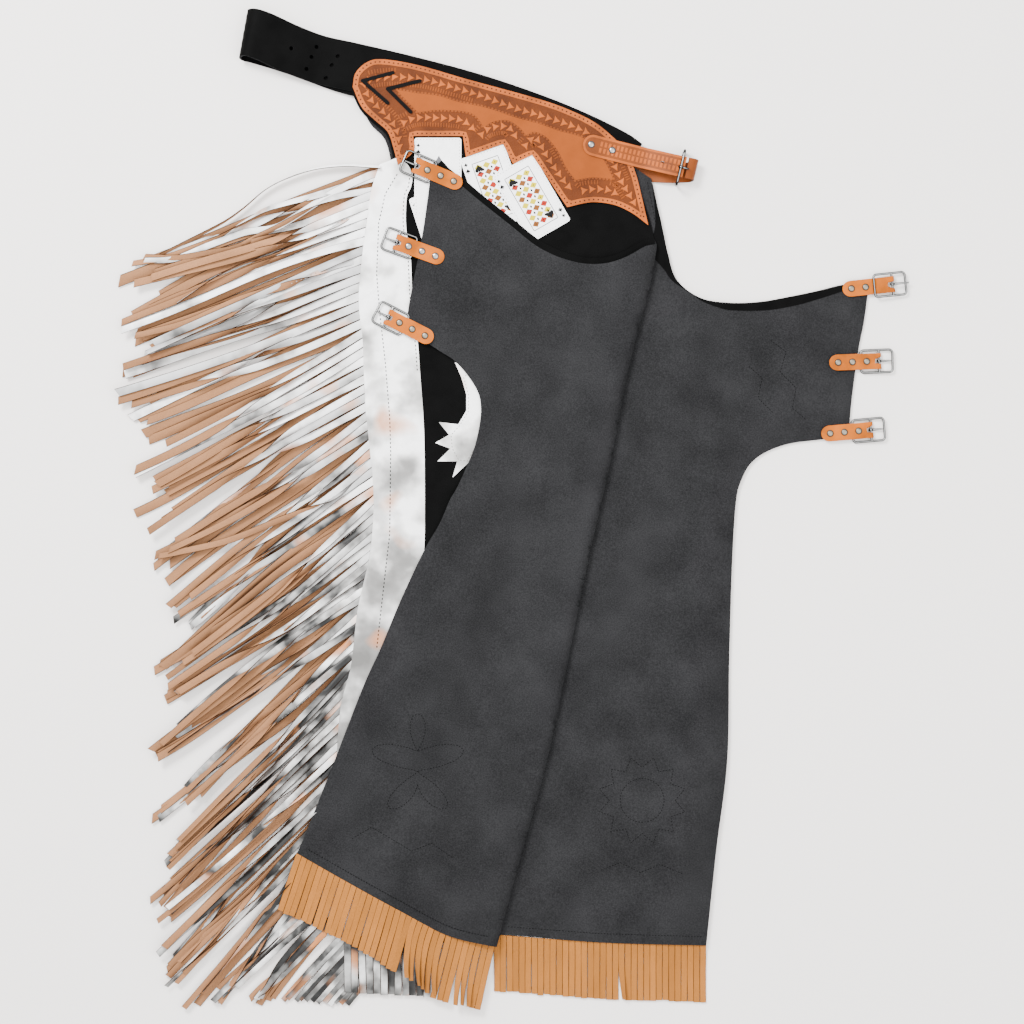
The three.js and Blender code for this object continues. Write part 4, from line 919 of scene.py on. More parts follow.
def strip_mesh(name, strips, materials):
    """A fringe from rows of (cross lines, thickness in mm, strand number, ends of the root)."""
    verts, faces, indices, tags = [], [], [], []
    for rows, thickness, tag, root_pair in strips:
        add_strip(verts, faces, indices, rows, thickness, root_pair)
        tags.extend([tag] * (len(verts) - len(tags)))
    piece = make_object(name, verts, faces, materials, indices)
    strand = piece.data.attributes.new("strand", "FLOAT_VECTOR", "POINT")
    strand.data.foreach_set("vector", np.array(tags, float).ravel())
    outward(piece)
    return shade(piece, 50)


# Strands that lie apart above the side fringe: width, rolls at the root, at 0.4 of the length and at the
# end, and path
LOOSE_STRANDS = [
    (7, 60, 80, 118, [
        (381, 168), (366, 167), (343, 166), (314, 170), (285, 180), (265, 191), (245, 208), (227, 221),
        (205, 233), (160, 256),
    ]),
    (8, 0, 40, 205, [
        (388, 176), (368, 180), (330, 192), (310, 198), (287, 204), (265, 211), (240, 225), (216, 239),
        (169, 257), (133, 264),
    ]),
    (8, 0, 15, -25, [
        (387, 172), (370, 176), (334, 193), (299, 215), (276, 228), (245, 233), (209, 246), (176, 259),
        (145, 261),
    ]),
    (7, 0, 140, 165, [
        (386, 190), (366, 192), (330, 200), (281, 226), (254, 239), (236, 248), (209, 253), (178, 258),
        (145, 257),
    ]),
    (7, 0, 110, 80, [
        (384, 198), (366, 205), (339, 224), (316, 237), (276, 255), (245, 264), (218, 277), (194, 293),
        (178, 304),
    ]),
    (8, 0, 180, 170, [
        (362, 260), (352, 262), (330, 268), (290, 285), (240, 300), (190, 322), (150, 333), (136, 336),
    ]),
    (8, 0, 150, 200, [(369, 458), (358, 472), (330, 500), (280, 520), (230, 540), (180, 552), (160, 556)]),
]
LOOSE_LINE = 188  # the sheet's y above which only the loose strands start
CORNER_LINE = 790  # the sheet's y from which the strips keep low, clear of the flap's corner


def side_rolls(dice, tan_share, fate, side, start, lean):
    """How a side strip rolls: tan side up throughout, turned over, on edge, or silver side up."""
    if tan_share == 1:
        edge = side * dice.uniform(0, 50)
        rolls = [(0, 180), (0.25, 180 + 0.3 * edge), (0.6, 180 + edge), (1, 180 + dice.uniform(-25, 25))]
        if fate < 0.22:
            rolls = [(0, 180), (start, 180), (start + 0.45, 180 + side * 180), (1, 180 + side * 190)]
        return rolls
    begin = [(0, 0), (start - 0.1, lean)]
    if fate < tan_share:
        over = (start + dice.uniform(0.25, 0.45), side * 180)
        return [*begin, over, (1, side * dice.uniform(165, 195))]
    if fate < tan_share + 0.2:
        upright = (start + 0.28, side * dice.uniform(65, 105))
        return [*begin, upright, (1, side * dice.choice((40, 85, 150)))]
    return [(0, 0), (0.12, lean), (0.5, side * dice.uniform(5, 28)), (1, side * dice.uniform(-25, 25))]


def side_fringe(name, count, seed, level, rest_range, tan_share):
    """Side strips that start together at the slits, then slide apart, bend, stand on edge and turn over."""
    dice = random.Random(seed)
    line = smooth_run(SLITS, 2)
    pitch = total_length(line) / count
    low, high = rest_range
    bundle = sway = 0.0
    strips = []
    for i, (at, run) in enumerate(along(line, pitch)):
        y = at[1]
        if y < LOOSE_LINE and tan_share < 1:
            continue
        # Strips hang in threes
        if i % 3 == 0:
            bundle = dice.uniform(-4.5, 4.5)
            sway = dice.uniform(-8, 8)
        dip = read(DIPS, y) + bundle + 1.6 * (1 - i % 3) + dice.uniform(-0.8, 0.8)
        length = read(REACHES, y) * dice.uniform(0.9, 1.06)
        fate = dice.random()
        side = dice.choice((-1, 1))
        corner = min(max((y - CORNER_LINE) / 60, 0), 1)
        start = dice.uniform(0.15, 0.5) + 0.2 * corner
        lean = dice.uniform(10, 26) * (1 - corner)
        rolls = side_rolls(dice, tan_share, fate, side, start, lean)
        width = pitch * math.cos(math.radians(dip)) * 0.98
        bend, wave, phase = sway + dice.uniform(-2, 2), dice.uniform(-3.5, 3.5), dice.uniform(0, 6)
        path = strip_path(at, dip, length, bend, wave, phase)
        rest = low + (high - low) * (1 - corner) * (5 * i % 7) / 6 + dice.uniform(0, 0.3)
        end, slant = width * dice.uniform(0.8, 1.15), dice.uniform(-0.5, 0.9)
        rows = strip_rows(path, width, end, level, rest, rolls, slant=slant)
        tag = (dice.uniform(0, 4), dice.uniform(0, 4), dice.uniform(0, 4))
        half = 0.5 * pitch * 0.97
        strips.append((rows, 1.1, tag, (at - run * half, at + run * half)))
    if tan_share < 1:
        for k, (width, start, first, last, points) in enumerate(LOOSE_STRANDS):
            rolls = [(0, start), (0.14, start), (0.4, first), (1, last)]
            rest = 4.0 + 1.3 * k
            rows = strip_rows(smooth_run(points, 5), width, width * 0.8, level - 0.9, rest, rolls, slant=0.5)
            strips.append((rows, 1.1, (k * 0.7, 1.3, 0.4), None))
    return strip_mesh(name, strips, SIDE_STRIP)


def ripple(x, y):
    """Small dents of the silver head, in mm."""
    return 0.5 * math.sin(y / 13) * math.sin(x / 11)


def silver_head(name, level, materials):
    """The uncut part of the side fringe, sewn on the leg's back edge."""
    outline = [*smooth_run(SEWN_EDGE, 3), *smooth_run(SLITS, 3)[::-1]]
    return leather(name, outline, lambda x, y: lay(x, y, level + ripple(x, y) + 0.5), 1.2, materials, pitch=5)


# The head's seam beside the slits
HEAD_SEAM = [
    (398, 174), (385.6, 194.6), (379, 223.7), (377, 275), (380, 313), (385.7, 364), (390, 418), (391, 452),
    (390, 534), (383, 595), (377, 649),
]


def head_top(x, y):
    """Height in mm of the silver head's upper face."""
    return TRIM_LEVEL + 1.4 + ripple(x, y)


def head_seams():
    """The two seams of the silver head."""
    front = offset_line(smooth_run(SEWN_EDGE[2:11], 3), -2.6)
    return stitches("head_threads", [HEAD_SEAM, front], head_top, 4.0, 2.3, 1.0, "dark_thread", 0.35)


def hem_strips(name, line, leans, count, length, level, seed, materials, curls=(), fall=2.5, stray=2.5):
    """A hem fringe: strips side by side from the hem line, each straying by up to so many degrees.
    curls has rows of first strip, last strip and bend in degrees."""
    dice = random.Random(seed)
    hem = smooth_run(line, 2)
    pitch = total_length(hem) / count
    strips = []
    for i, (at, run) in enumerate(along(hem, pitch)):
        share = (i + 0.5) / count
        curl = next((c for c in curls if c[0] <= i <= c[1]), None)
        lean = leans[0] + (leans[1] - leans[0]) * share + 0.4 * dice.uniform(-stray, stray)
        last = dice.uniform(30, 65) if curl else dice.uniform(-10, 10)
        rolls = [(0, 0), (0.4, 0.1 * last), (1, last)]
        reach = (length(share) if callable(length) else length) * dice.uniform(0.985, 1.015)
        bend = curl[2] * dice.uniform(0.8, 1.2) if curl else dice.uniform(-stray, stray)
        path = strip_path(at, 90 - lean, reach, bend, 0.6, dice.uniform(0, 6), segments=8)
        end = pitch * (0.99 - 0.03 * stray * dice.random())
        rows = strip_rows(path, pitch * 0.99, end, level, max(0.8, level - fall), rolls, 3.0)
        half = 0.5 * pitch * 0.985
        tag = (dice.uniform(0, 4), dice.uniform(0, 4), 0)
        strips.append((rows, 1.2, tag, (at + run * half, at - run * half)))
    return strip_mesh(name, strips, materials)


FLAP_FRINGE = 1.02  # the longest of the flap's hem strips, as a share of the hem fringe


def flap_fringe_length(reach):
    """A function of the share along the flap's hem: its strips are short past the middle, long at the end."""
    return lambda s: reach * (1.0 + 0.1 * s) * (FLAP_FRINGE - 0.12 * math.sin(math.pi * min(1, s * 1.3)))


# Belt


def ribbon(path, sides):
    """A function that bends flat places (run, across) along a path of places, and the path's length."""
    reach = [0.0]
    for a, b in zip(path, path[1:]):
        reach.append(reach[-1] + (b - a).length)
    coords = np.array([tuple(p) for p in path])
    steps = np.gradient(coords, axis=0)
    tables = (coords, np.array([tuple(s) for s in sides]), steps)

    def place(run, across, lift_mm=0.0):
        at, side, step = (
            Vector([float(np.interp(run * UNIT, reach, table[:, k])) for k in range(3)]) for table in tables
        )
        side.normalize()
        return at + side * across * UNIT + step.cross(side).normalized() * lift_mm * MM

    return place, reach[-1] / UNIT


def spline3(points, count=8):
    """A smooth line through rows of numbers."""
    rows = [np.array(p, float) for p in points]
    line = [rows[0]]
    for a, b, c, d in fours(rows):
        line.extend(curve_point(a, b, c, d, k / count) for k in range(1, count + 1))
    return line


# x, y on the sheet, lean in degrees, height of the middle in mm
BELT_RUN = [
    (628, 164, 36, 6.9), (612, 153, 35, 6.9), (575, 135, 31, 6.9), (530, 117, 24, 6.9), (470, 97, 18, 6.9),
    (406, 80, 15, 6.9), (350, 67, 14, 7.0), (318, 60, 18, 8.8), (290, 50, 21, 14.8), (266, 39.5, 19, 22.8),
    (253, 35.2, 14, 24.6), (247, 35, 11, 20.0), (245, 36, 10, 13.0), (248, 38, 10, 5.2), (258, 40, 11, 1.6),
    (294, 51, 14, 1.5), (350, 71, 14, 3.9), (406, 82, 15, 3.9), (470, 100, 18, 3.9), (530, 121, 24, 3.9),
    (575, 143, 31, 3.9),
]
BELT_HALF = 24.0  # half of the belt's width of 58 mm, on the sheet
BELT_HOLES = [(292, 50), (317, 48), (312, 58), (338, 57), (332, 66), (307, 70), (326, 79)]
BELT_HOLE_RADIUS = 2.1
BELT_UPPER_ROWS = 100  # rows of the path as far as the middle of its loop


def belt_holes(path, sides):
    """The belt's holes, each given by its distance along the belt and across it."""
    reach = [0.0]
    for a, b in zip(path, path[1:]):
        reach.append(reach[-1] + (b - a).length / UNIT)
    holes = []
    for x, y in BELT_HOLES:
        spot = lay(x, y)
        k = min(range(BELT_UPPER_ROWS), key=lambda row: Vector((spot - path[row])[:2]).length)
        local = (spot - path[k]) / UNIT
        run = Vector((-sides[k].y, sides[k].x, 0))
        holes.append(disc(reach[k] + local.dot(run), local.dot(sides[k]), BELT_HOLE_RADIUS, 12))
    return holes


def belt():
    """The waist belt, which turns back in a loop."""
    rows = spline3(BELT_RUN)
    path = [lay(x, y, z) for x, y, _, z in rows]
    leans = [math.radians(lean) for _, _, lean, _ in rows]
    sides = [Vector((math.sin(lean), math.cos(lean), 0)) for lean in leans]
    place, length = ribbon(path, sides)
    corners = [(0, -BELT_HALF), (length, -BELT_HALF), (length, BELT_HALF), (0, BELT_HALF)]
    verts, faces = tile(polygon(corners, 4), belt_holes(path, sides), 5.0)
    piece = make_object("waist_belt_leather", [place(x, y) for x, y in verts], faces, BELT)
    return thicken_bent(piece, HIDE)


# Yokes

YOKE_RUNS = [
    [
        (353, 88), (356, 74), (368, 63), (384, 60.5), (419, 66.5), (466, 80), (540, 100.5), (574, 113),
        (597, 125), (615, 140),
    ],
    [(615, 140), (627, 155), (635, 173), (641, 196), (648, 226)],
    [(648, 226), (632, 214), (615, 206), (597, 203), (584, 204), (567, 208)],
    [(567, 208), (532, 156)],
    [(532, 156), (513, 165)],
    [(513, 165), (503, 145)],
    [(503, 145), (466, 158)],
    [(466, 158), (463, 137)],
    [(463, 137), (413.5, 137)],
    [(413.5, 137), (414, 152), (398, 166)],
    [(398, 166), (394, 150), (388, 133), (375, 121), (362, 108), (353, 88)],
]
LEFT_YOKE_FOOT = [(567, 208), (542, 181), (487, 169), (437, 153), (398, 166)]
PANEL_RUNS = [
    [
        (396, 90.5), (416, 94), (439, 97), (459, 103), (487, 109), (514.5, 118), (540, 125), (560, 132),
        (581, 138), (594, 147), (606, 165), (613, 180),
    ],
    [(613, 180), (592.6, 178.5), (575, 181)],
    [(575, 181), (566, 168.6), (558, 152.5), (546.7, 138.7), (535, 133), (526, 136.4)],
    [(526, 136.4), (519, 128.4), (507.6, 121.5), (494, 122.5), (483.5, 128.4)],
    [(483.5, 128.4), (475.5, 117), (464, 112.5), (438.7, 111), (418, 113.5)],
    [(418, 113.5), (396, 90.5)],
]
# Middle lines of the tooled bands
BANDS = [
    [
        (362, 88), (370, 81), (395, 78), (426, 81), (455, 89), (482, 97), (514.5, 109), (542, 117),
        (569.6, 126), (588, 134),
    ],
    [(609, 158), (615.5, 168.6), (621, 182), (630.5, 198), (637, 210)],
    [(401, 125), (416, 119), (439, 119), (462, 121.5), (475.5, 132)],
    [(479, 138), (489, 129.5), (507.6, 128), (519, 143)],
    [(523, 149), (535, 139), (546.7, 157), (556, 171), (566, 184.7), (574, 193)],
    [(580, 192), (592.6, 190), (608, 191), (622, 198)],
    [(365, 92), (374, 104), (388, 118), (397, 132), (400, 150)],
]
# The lacing's two chevrons: upper end, point, lower end
LACES = {"lace_outer": [(393, 74), (363, 82), (388, 104)], "lace_inner": [(420, 82), (388, 90), (411, 113)]}
LACE_HALF = 1.8


def stamps(name, marks, level, height_mm, material, place=lay):
    """Raised marks in one mesh, each an outline whose top is drawn in and lifted."""
    verts, faces = [], []
    for outline in marks:
        points = np.array(outline, float)
        middle = points.mean(axis=0)
        first, count = len(verts), len(points)
        for share, rise in ((1.0, -0.15), (0.96, 0.6 * height_mm), (0.72, height_mm)):
            verts.extend(place(*(middle + share * (p - middle)), level + rise) for p in points)
        for ring in (first, first + count):
            for k in range(count):
                n = (k + 1) % count
                faces.append((ring + k, ring + n, ring + count + n, ring + count + k))
        faces.append(tuple(first + k for k in range(count)))
        faces.append(tuple(first + 2 * count + k for k in reversed(range(count))))
    piece = make_object(name, verts, faces, [material])
    outward(piece)
    return piece


def arrows(line, pitch, size):
    """Outlines of triangles with hollow sides that follow each other along a line."""
    marks = []
    for at, run in along(smooth_run(line, 2), pitch):
        side = 0.62 * size * np.array([-run[1], run[0]])
        tip, back = at + 0.62 * size * run, at - 0.42 * size * run
        mark = []
        for a, b in ((tip, back + side), (back + side, back - side), (back - side, tip)):
            mark.extend([a, 0.8 * (a + b) / 2 + 0.2 * at])
        marks.append(mark)
    return marks


def bars(line, pitch, offset, length, width):
    """Outlines of short bars across a line, at an offset on both sides of it."""
    marks = []
    for at, run in along(smooth_run(line, 2), pitch):
        side = np.array([-run[1], run[0]])
        for sign in (1, -1):
            middle = at + sign * offset * side
            a, b = 0.5 * width * run, 0.5 * length * side
            marks.append([middle - a - b, middle + a - b, middle + a + b, middle - a + b])
    return marks


def yoke_right():
    """The tooled yoke: a dark ground with a smooth rim and panel, and bands of stamped marks between."""
    outline = border(*YOKE_RUNS, step=3)
    panel = border(*PANEL_RUNS, step=2.5)
    top = TRIM_LEVEL + 2.0
    points = [mark for line in BANDS for mark in arrows(line, 8.0, 7.2)]
    strokes = [mark for line in BANDS for mark in bars(line, 2.7, 7.0, 4.4, 1.5)]
    room = np.array(inset(outline, 6.5))
    kept_free = np.array(inset(panel, -2.0))
    clear = [
        mark for mark in strokes
        if inside(room, np.array(mark)).all() and not inside(kept_free, np.array(mark)).any()
    ]
    holes = [disc(*at, 0.85, 8) for at, _ in along(inset(outline, 2.6), 4.6)]
    beads = [disc(*at, 1.5, 8) for at, _ in along(inset(panel, -0.6), 3.6)]
    parts = [
        leather("yoke_right_plate", outline, flat_at(top), 2.0, RECESS),
        leather("yoke_right_rim", outline, flat_at(top + 0.5), 0.55, RIM, holes=[inset(outline, 5.2)]),
        leather("yoke_right_panel", panel, flat_at(top + 0.5), 0.55, PANEL),
        stamps("yoke_right_arrows", points, top, 0.9, "russet_rim_leather"),
        stamps("yoke_right_strokes", clear, top, 0.5, "russet_tooling_leather"),
        stamps("yoke_right_beads", beads, top, 0.6, "russet_tooling_leather"),
        stamps("yoke_right_holes", holes, top + 0.5, 0.1, "burnished_edge"),
    ]
    return join("yoke_right_tooled", parts)


def yoke_left():
    """The left leg's yoke, which lies under the right one."""
    outline = border(*YOKE_RUNS[:3], LEFT_YOKE_FOOT, YOKE_RUNS[-1], step=3)
    return leather("yoke_left_tooled", outline, flat_at(2.3), 1.6, RUSSET, pitch=8)


def capsule(start, end, half, steps=8):
    """The outline of a straight strap with round ends."""
    a, b = np.array(start, float), np.array(end, float)
    heading = math.atan2(*(b - a)[::-1])
    line = []
    for middle, turn in ((b, heading - math.pi / 2), (a, heading + math.pi / 2)):
        for k in range(steps + 1):
            angle = turn + math.pi * k / steps
            line.append(middle + half * np.array([math.cos(angle), math.sin(angle)]))
    return line


def lace(name):
    """One chevron of lacing: two arms that cross at its point."""
    upper, point, lower = LACES[name]
    arms = []
    for k, end in enumerate((upper, lower)):
        level = TRIM_LEVEL + 3.6 + 0.15 * k
        outline = capsule(end, point, LACE_HALF)
        arms.append(leather(f"{name}_arm_{k}", outline, flat_at(level), 1.2, LACE, pitch=4))
    return join(f"{name}_thong", arms)


# The silver leaf's outline as shares of its height, and its middle on the sheet
LEAF_MIDDLE, LEAF_HEIGHT = (455, 420), 115
LEAF_OUTLINE = [
    (0.0, 0.5), (0.14, 0.43), (0.25, 0.28), (0.28, 0.08), (0.23, -0.18), (0.12, -0.37), (-0.02, -0.5),
    (0.02, -0.36), (-0.15, -0.36), (-0.04, -0.25), (-0.17, -0.2), (-0.05, -0.13), (-0.14, -0.02),
    (0.03, -0.04), (0.1, 0.08), (0.1, 0.22), (0.06, 0.36),
]


def leaf():
    """The silver leaf with its stitched rim."""
    x, y = LEAF_MIDDLE
    outline = [(x + a * LEAF_HEIGHT, y - u * LEAF_HEIGHT) for a, u in LEAF_OUTLINE]
    level = TRIM_LEVEL + 1.2
    base = leather("leaf_base", outline, flat_at(level), 1.2, FOIL, pitch=5)
    rim = closed(inset(outline, 2.0))
    thread = stitches("leaf_stitches", [rim], level, 3.4, 1.8, 0.7, "grey_thread", 0.2)
    return join("leaf_applique", [base, thread])


# Cards

# Middle on the sheet and turn in degrees
CARD_PLACES = {
    "card_ace": (438, 177, 0),
    "card_king": (494.6, 188.7, 19.3),
    "card_queen": (531.2, 199.2, 30),
    "card_tucked": (443, 229, 18),
}
# The order that they are laid in
CARD_ORDER = ("card_tucked", "card_ace", "card_king", "card_queen")
COURT_CARDS = ("card_king", "card_queen")
CARD_WIDTH, CARD_HEIGHT, CARD_CORNER = 46.7, 76.7, 2.5  # 56 by 92 mm, with corners of 3 mm
# Half of a spade, down from its tip
PIP = [
    (0.0, -0.5), (0.12, -0.3), (0.32, -0.1), (0.44, 0.08), (0.42, 0.24), (0.28, 0.33), (0.12, 0.27),
    (0.05, 0.2), (0.08, 0.36), (0.18, 0.5),
]


def on_card(name, marks):
    """Marks given from a card's middle, across and down, turned onto the sheet."""
    x, y, turn = CARD_PLACES[name]
    c, s = math.cos(math.radians(turn)), math.sin(math.radians(turn))
    return [[(x + u * c + v * s, y - u * s + v * c) for u, v in mark] for mark in marks]


def card_outline():
    """A card's outline from its middle, with round corners."""
    points = []
    for sx, sy, start in ((1, -1, -90), (1, 1, 0), (-1, 1, 90), (-1, -1, 180)):
        for k in range(4):
            angle = math.radians(start + 30 * k)
            u = sx * (CARD_WIDTH / 2 - CARD_CORNER) + CARD_CORNER * math.cos(angle)
            v = sy * (CARD_HEIGHT / 2 - CARD_CORNER) + CARD_CORNER * math.sin(angle)
            points.append((u, v))
    return points


def pip(u, v, size, flip=1):
    """A spade, upside down when flip is -1."""
    half = [(u + size * a, v + flip * size * b) for a, b in PIP]
    return [*half, *[(2 * u - a, b) for a, b in half[:0:-1]]]


def lozenge(u, v, wide, high):
    """A lozenge round a place."""
    return [(u - wide, v), (u, v - high), (u + wide, v), (u, v + high)]


def block(u0, v0, u1, v1):
    """A rectangle from corner to corner."""
    return [(u0, v0), (u1, v0), (u1, v1), (u0, v1)]


def court():
    """The printed panel of a court card: a framed pattern of lozenges in four dyes."""
    dyes = {"black": [], "yellow": [], "red": [], "brown": []}
    for edge in ((-14, -30, 14, -29.3), (-14, 29.3, 14, 30), (-14, -30, -13.3, 30), (13.3, -30, 14, 30)):
        dyes["black"].append(block(*edge))
    for row in range(8):
        for column in range(3):
            u, v = -8.6 + 8.6 * column, -24.5 + 7 * row
            dye = ("yellow", "red", "yellow", "brown")[(row + 2 * column) % 4]
            dyes[dye].append(lozenge(u, v, 4.2, 3.4))
            between = column < 2 and row < 7
            small = lozenge(u + 4.3, v + 3.5, 1.2, 1.8) if between else lozenge(u, v, 0.9, 0.7)
            dyes["black"].append(small)
    return dyes


def card(name, step):
    """One card: white leather with printed marks and a stitched rim, a little above the one before."""
    level = TRIM_LEVEL + 0.35 * (step + 1)
    outline = on_card(name, [card_outline()])[0]
    dyes = {"black": [pip(-19.5, -24.5, 5), pip(19.5, 24.5, 5, -1), pip(-19.5, -31, 4), pip(19.5, 31, 4, -1)]}
    if name in COURT_CARDS:
        for dye, marks in court().items():
            dyes.setdefault(dye, []).extend(marks)
        dyes["black"].extend([pip(-8.5, -23, 10), pip(8.5, 23, 10, -1)])
    else:
        dyes["grey"] = [pip(1, -10 if name == "card_ace" else 0, 22)]
    parts = [leather(f"{name}_leather", outline, flat_at(level), 0.3, CARD, pitch=12)]
    for dye, marks in dyes.items():
        lift = 0.04 if dye == "black" else 0.02
        parts.append(stamps(f"{name}_{dye}", on_card(name, marks), level + lift, 0.06, f"{dye}_dye"))
    rim = closed(inset(outline, 1.7))
    parts.append(stitches(f"{name}_thread", [rim], level, 3.2, 1.2, 0.5, "grey_thread", 0.15))
    return join(f"{name}_applique", parts)


# Tabs and straps

# Heel bar's middle in mm, turn towards the buckle in degrees, whether the buckle faces up, number of rivets
TABS = {
    "right_1": ((-115.327, 413.417, 12.5), 157, False, 3),
    "right_2": ((-138.150, 321.584, 12.5), 160, False, 3),
    "right_3": ((-148.267, 231.929, 12.5), 153, False, 3),
    "left_1": ((455.419, 271.734, 5.3), 6, True, 2),
    "left_2": ((439.778, 179.743, 2.9), 2, False, 3),
    "left_3": ((430.040, 97.248, 2.9), 5, False, 3),
}
# A tab in mm and degrees: length to its heel bar, half width, the bar's drop, and its buckle's tilt
TAB_LENGTH, TAB_HALF, HEEL_DROP, BUCKLE_TILT = 60, 9.5, -0.2, 3.9
TAB_PLY = 1.15
FOLD_MIDDLE = 2.2  # from the heel bar's middle to the middle of the leather round it
WIRE = 1.4  # radius of the thigh buckles' wire
# First rivet from the tab's tip, pitch, and height of a cap's foot with the face down and up
RIVET_FIRST, RIVET_PITCH, RIVET_FOOT = 10.8, 17.1, (2.5, -0.1)
STRAP_LEAN = math.radians(14)
STRAP_HALF = 10.4
# x, y on the sheet and height of the middle in mm
UPPER_STRAP = [
    (583, 143.5, 11.6), (595, 147, 11.6), (637, 157.5, 11.6), (657, 162.5, 16), (675, 167, 20.5),
    (683.7, 169, 20.5),
]
LOWER_STRAP = [
    (612, 163, 1.2), (646, 171, 1.2), (655, 172.2, 1.9), (669, 173.2, 4.7), (684, 173, 4.7), (692, 172.5, 7),
    (695, 171.5, 12), (692.5, 170.5, 17.5), (686, 169.5, 20.3),
]
FRONT_BUCKLE = (680, 169, 12.6)
FRONT_RIVETS = [(591, 145.6, 12.9), (612, 151.4, 12.9)]


def frame_of(origin, run, up):
    """A matrix with its x along run and its z along up, from places in mm."""
    side = up.cross(run)
    rows = [[run[k], side[k], up[k], origin[k] * MM] for k in range(3)]
    return Matrix([*rows, [0, 0, 0, 1]])


def tab_matrices(name):
    """Where a tab's tip and its buckle's heel bar lie."""
    heel, turn, face_up, _ = TABS[name]
    ray = Vector((math.cos(math.radians(turn)), math.sin(math.radians(turn)), 0))
    up = Vector((0, 0, -1 if face_up else 1))
    tip = Vector(heel) - TAB_LENGTH * ray - HEEL_DROP * up
    tilt = math.radians(BUCKLE_TILT)
    run = math.cos(tilt) * ray + math.sin(tilt) * up
    return frame_of(tip, ray, up), frame_of(heel, run, math.cos(tilt) * up - math.sin(tilt) * ray)


def copies(piece, name, matrices):
    """A piece repeated at each place, joined into one object."""
    made = []
    for matrix in matrices:
        mesh = piece.data.copy()
        mesh.transform(matrix)
        item = bpy.data.objects.new(name, mesh)
        bpy.context.collection.objects.link(item)
        made.append(item)
    bpy.data.objects.remove(piece)
    return join(name, made)


def round_tip(radius, depth):
    """A strap's round end that points back from the side at +radius to the side at -radius."""
    turns = np.linspace(0, math.pi, 13)
    return [(depth - depth * math.sin(t), radius * math.cos(t)) for t in turns]


def tab():
    """A folded thigh tab in its own frame: tip at the origin, fold round the heel bar."""
    profile = [(0, 0.6), (54.4, 0.6)]
    for k in range(12):
        angle = math.radians(205 + 240 * k / 11)
        x = TAB_LENGTH + FOLD_MIDDLE * math.cos(angle)
        profile.append((x, HEEL_DROP + FOLD_MIDDLE * math.sin(angle)))
    profile = np.array([*profile, (54.4, 1.8), (0, 1.8)])
    reach = np.concatenate([[0], np.cumsum(np.linalg.norm(np.diff(profile, axis=0), axis=1))])
    total = reach[-1]
    tip = round_tip(TAB_HALF, 10)
    outline = [*tip, (total - 10, -TAB_HALF), *[(total - x, y) for x, y in tip[::-1][1:]]]
    # The prong comes out through a slot in the fold
    slot = block(total / 2 - 9, -2.6, total / 2 + 9, 2.6)
    verts, faces = tile(polygon(outline, 2.0), [slot], 2.6)
    points = []
    for run, across in verts:
        x, z = (np.interp(run, reach, profile[:, k]) for k in (0, 1))
        points.append(Vector((x, across, z)) * MM)
    return thicken_bent(make_object("thigh_tab", points, faces, STRAP), TAB_PLY)


def strap_layer(name, outline, place, lift, thickness_mm, materials, holes=()):
    """One layer of a bent strap."""
    verts, faces = tile(outline, holes, 4.0)
    piece = make_object(name, [place(x, y, lift) for x, y in verts], faces, materials)
    return thicken_bent(piece, thickness_mm)


def strap_shape(rows, head):
    """How a strap bends along its path, its outline and its length."""
    path = [lay(*row) for row in spline3(rows, 6)]
    side = Vector((math.sin(STRAP_LEAN), math.cos(STRAP_LEAN), 0))
    place, length = ribbon(path, [side] * len(path))
    return place, polygon([*head, (length, -STRAP_HALF), (length, STRAP_HALF)], 3.0), length


def upper_strap():
    """The tooled upper strap, with a raised smooth border and stamped bars between."""
    name = "front_strap_upper"
    place, outline, length = strap_shape(UPPER_STRAP, round_tip(STRAP_HALF, STRAP_HALF))
    hole = disc(82, 0, 1.7, 12)
    strokes = bars([(STRAP_HALF + 6, 0), (length - 4, 0)], 4.2, 3.3, 5.0, 2.6)
    parts = [
        strap_layer(f"{name}_base", outline, place, 0, 2.0, RUSSET, [hole]),
        strap_layer(f"{name}_border", outline, place, 1.1, 0.4, RIM, [inset(outline, 2.4)]),
        stamps(f"{name}_bars", strokes, 1.0, 0.45, "russet_rim_leather", place),
    ]
    return join(name, parts)


def lower_strap():
    """The plain lower strap, turned back at its end."""
    place, outline, _ = strap_shape(LOWER_STRAP, [(0, STRAP_HALF), (0, -STRAP_HALF)])
    name = "front_strap_lower"
    return join(name, [strap_layer(f"{name}_base", outline, place, 0, 2.0, RUSSET)])


# Hardware


def tarnish(piece):
    """Marks how steep each spot of a laid metal piece stands, for its painted highlight and painted dark
    reflection.
    """
    mark = piece.data.attributes.new("tarnish", "FLOAT", "POINT")
    mark.data.foreach_set("value", [1 - max(0.0, v.normal.z) for v in piece.data.vertices])
    return piece


def wire_loop(name, back, front, half, corner, wire):
    """A frame of round wire: a torus drawn out into a rounded rectangle, in mm."""
    deselect()
    bpy.ops.mesh.primitive_torus_add(
        major_segments=32, minor_segments=12, major_radius=corner * MM, minor_radius=wire * MM
    )
    piece = bpy.context.object
    piece.name = name
    for vertex in piece.data.vertices:
        vertex.co.x += (front - corner if vertex.co.x > 0 else back + corner) * MM
        vertex.co.y += math.copysign(half - corner, vertex.co.y) * MM
    piece.data.materials.append(MATERIALS["nickel_plate"])
    return piece


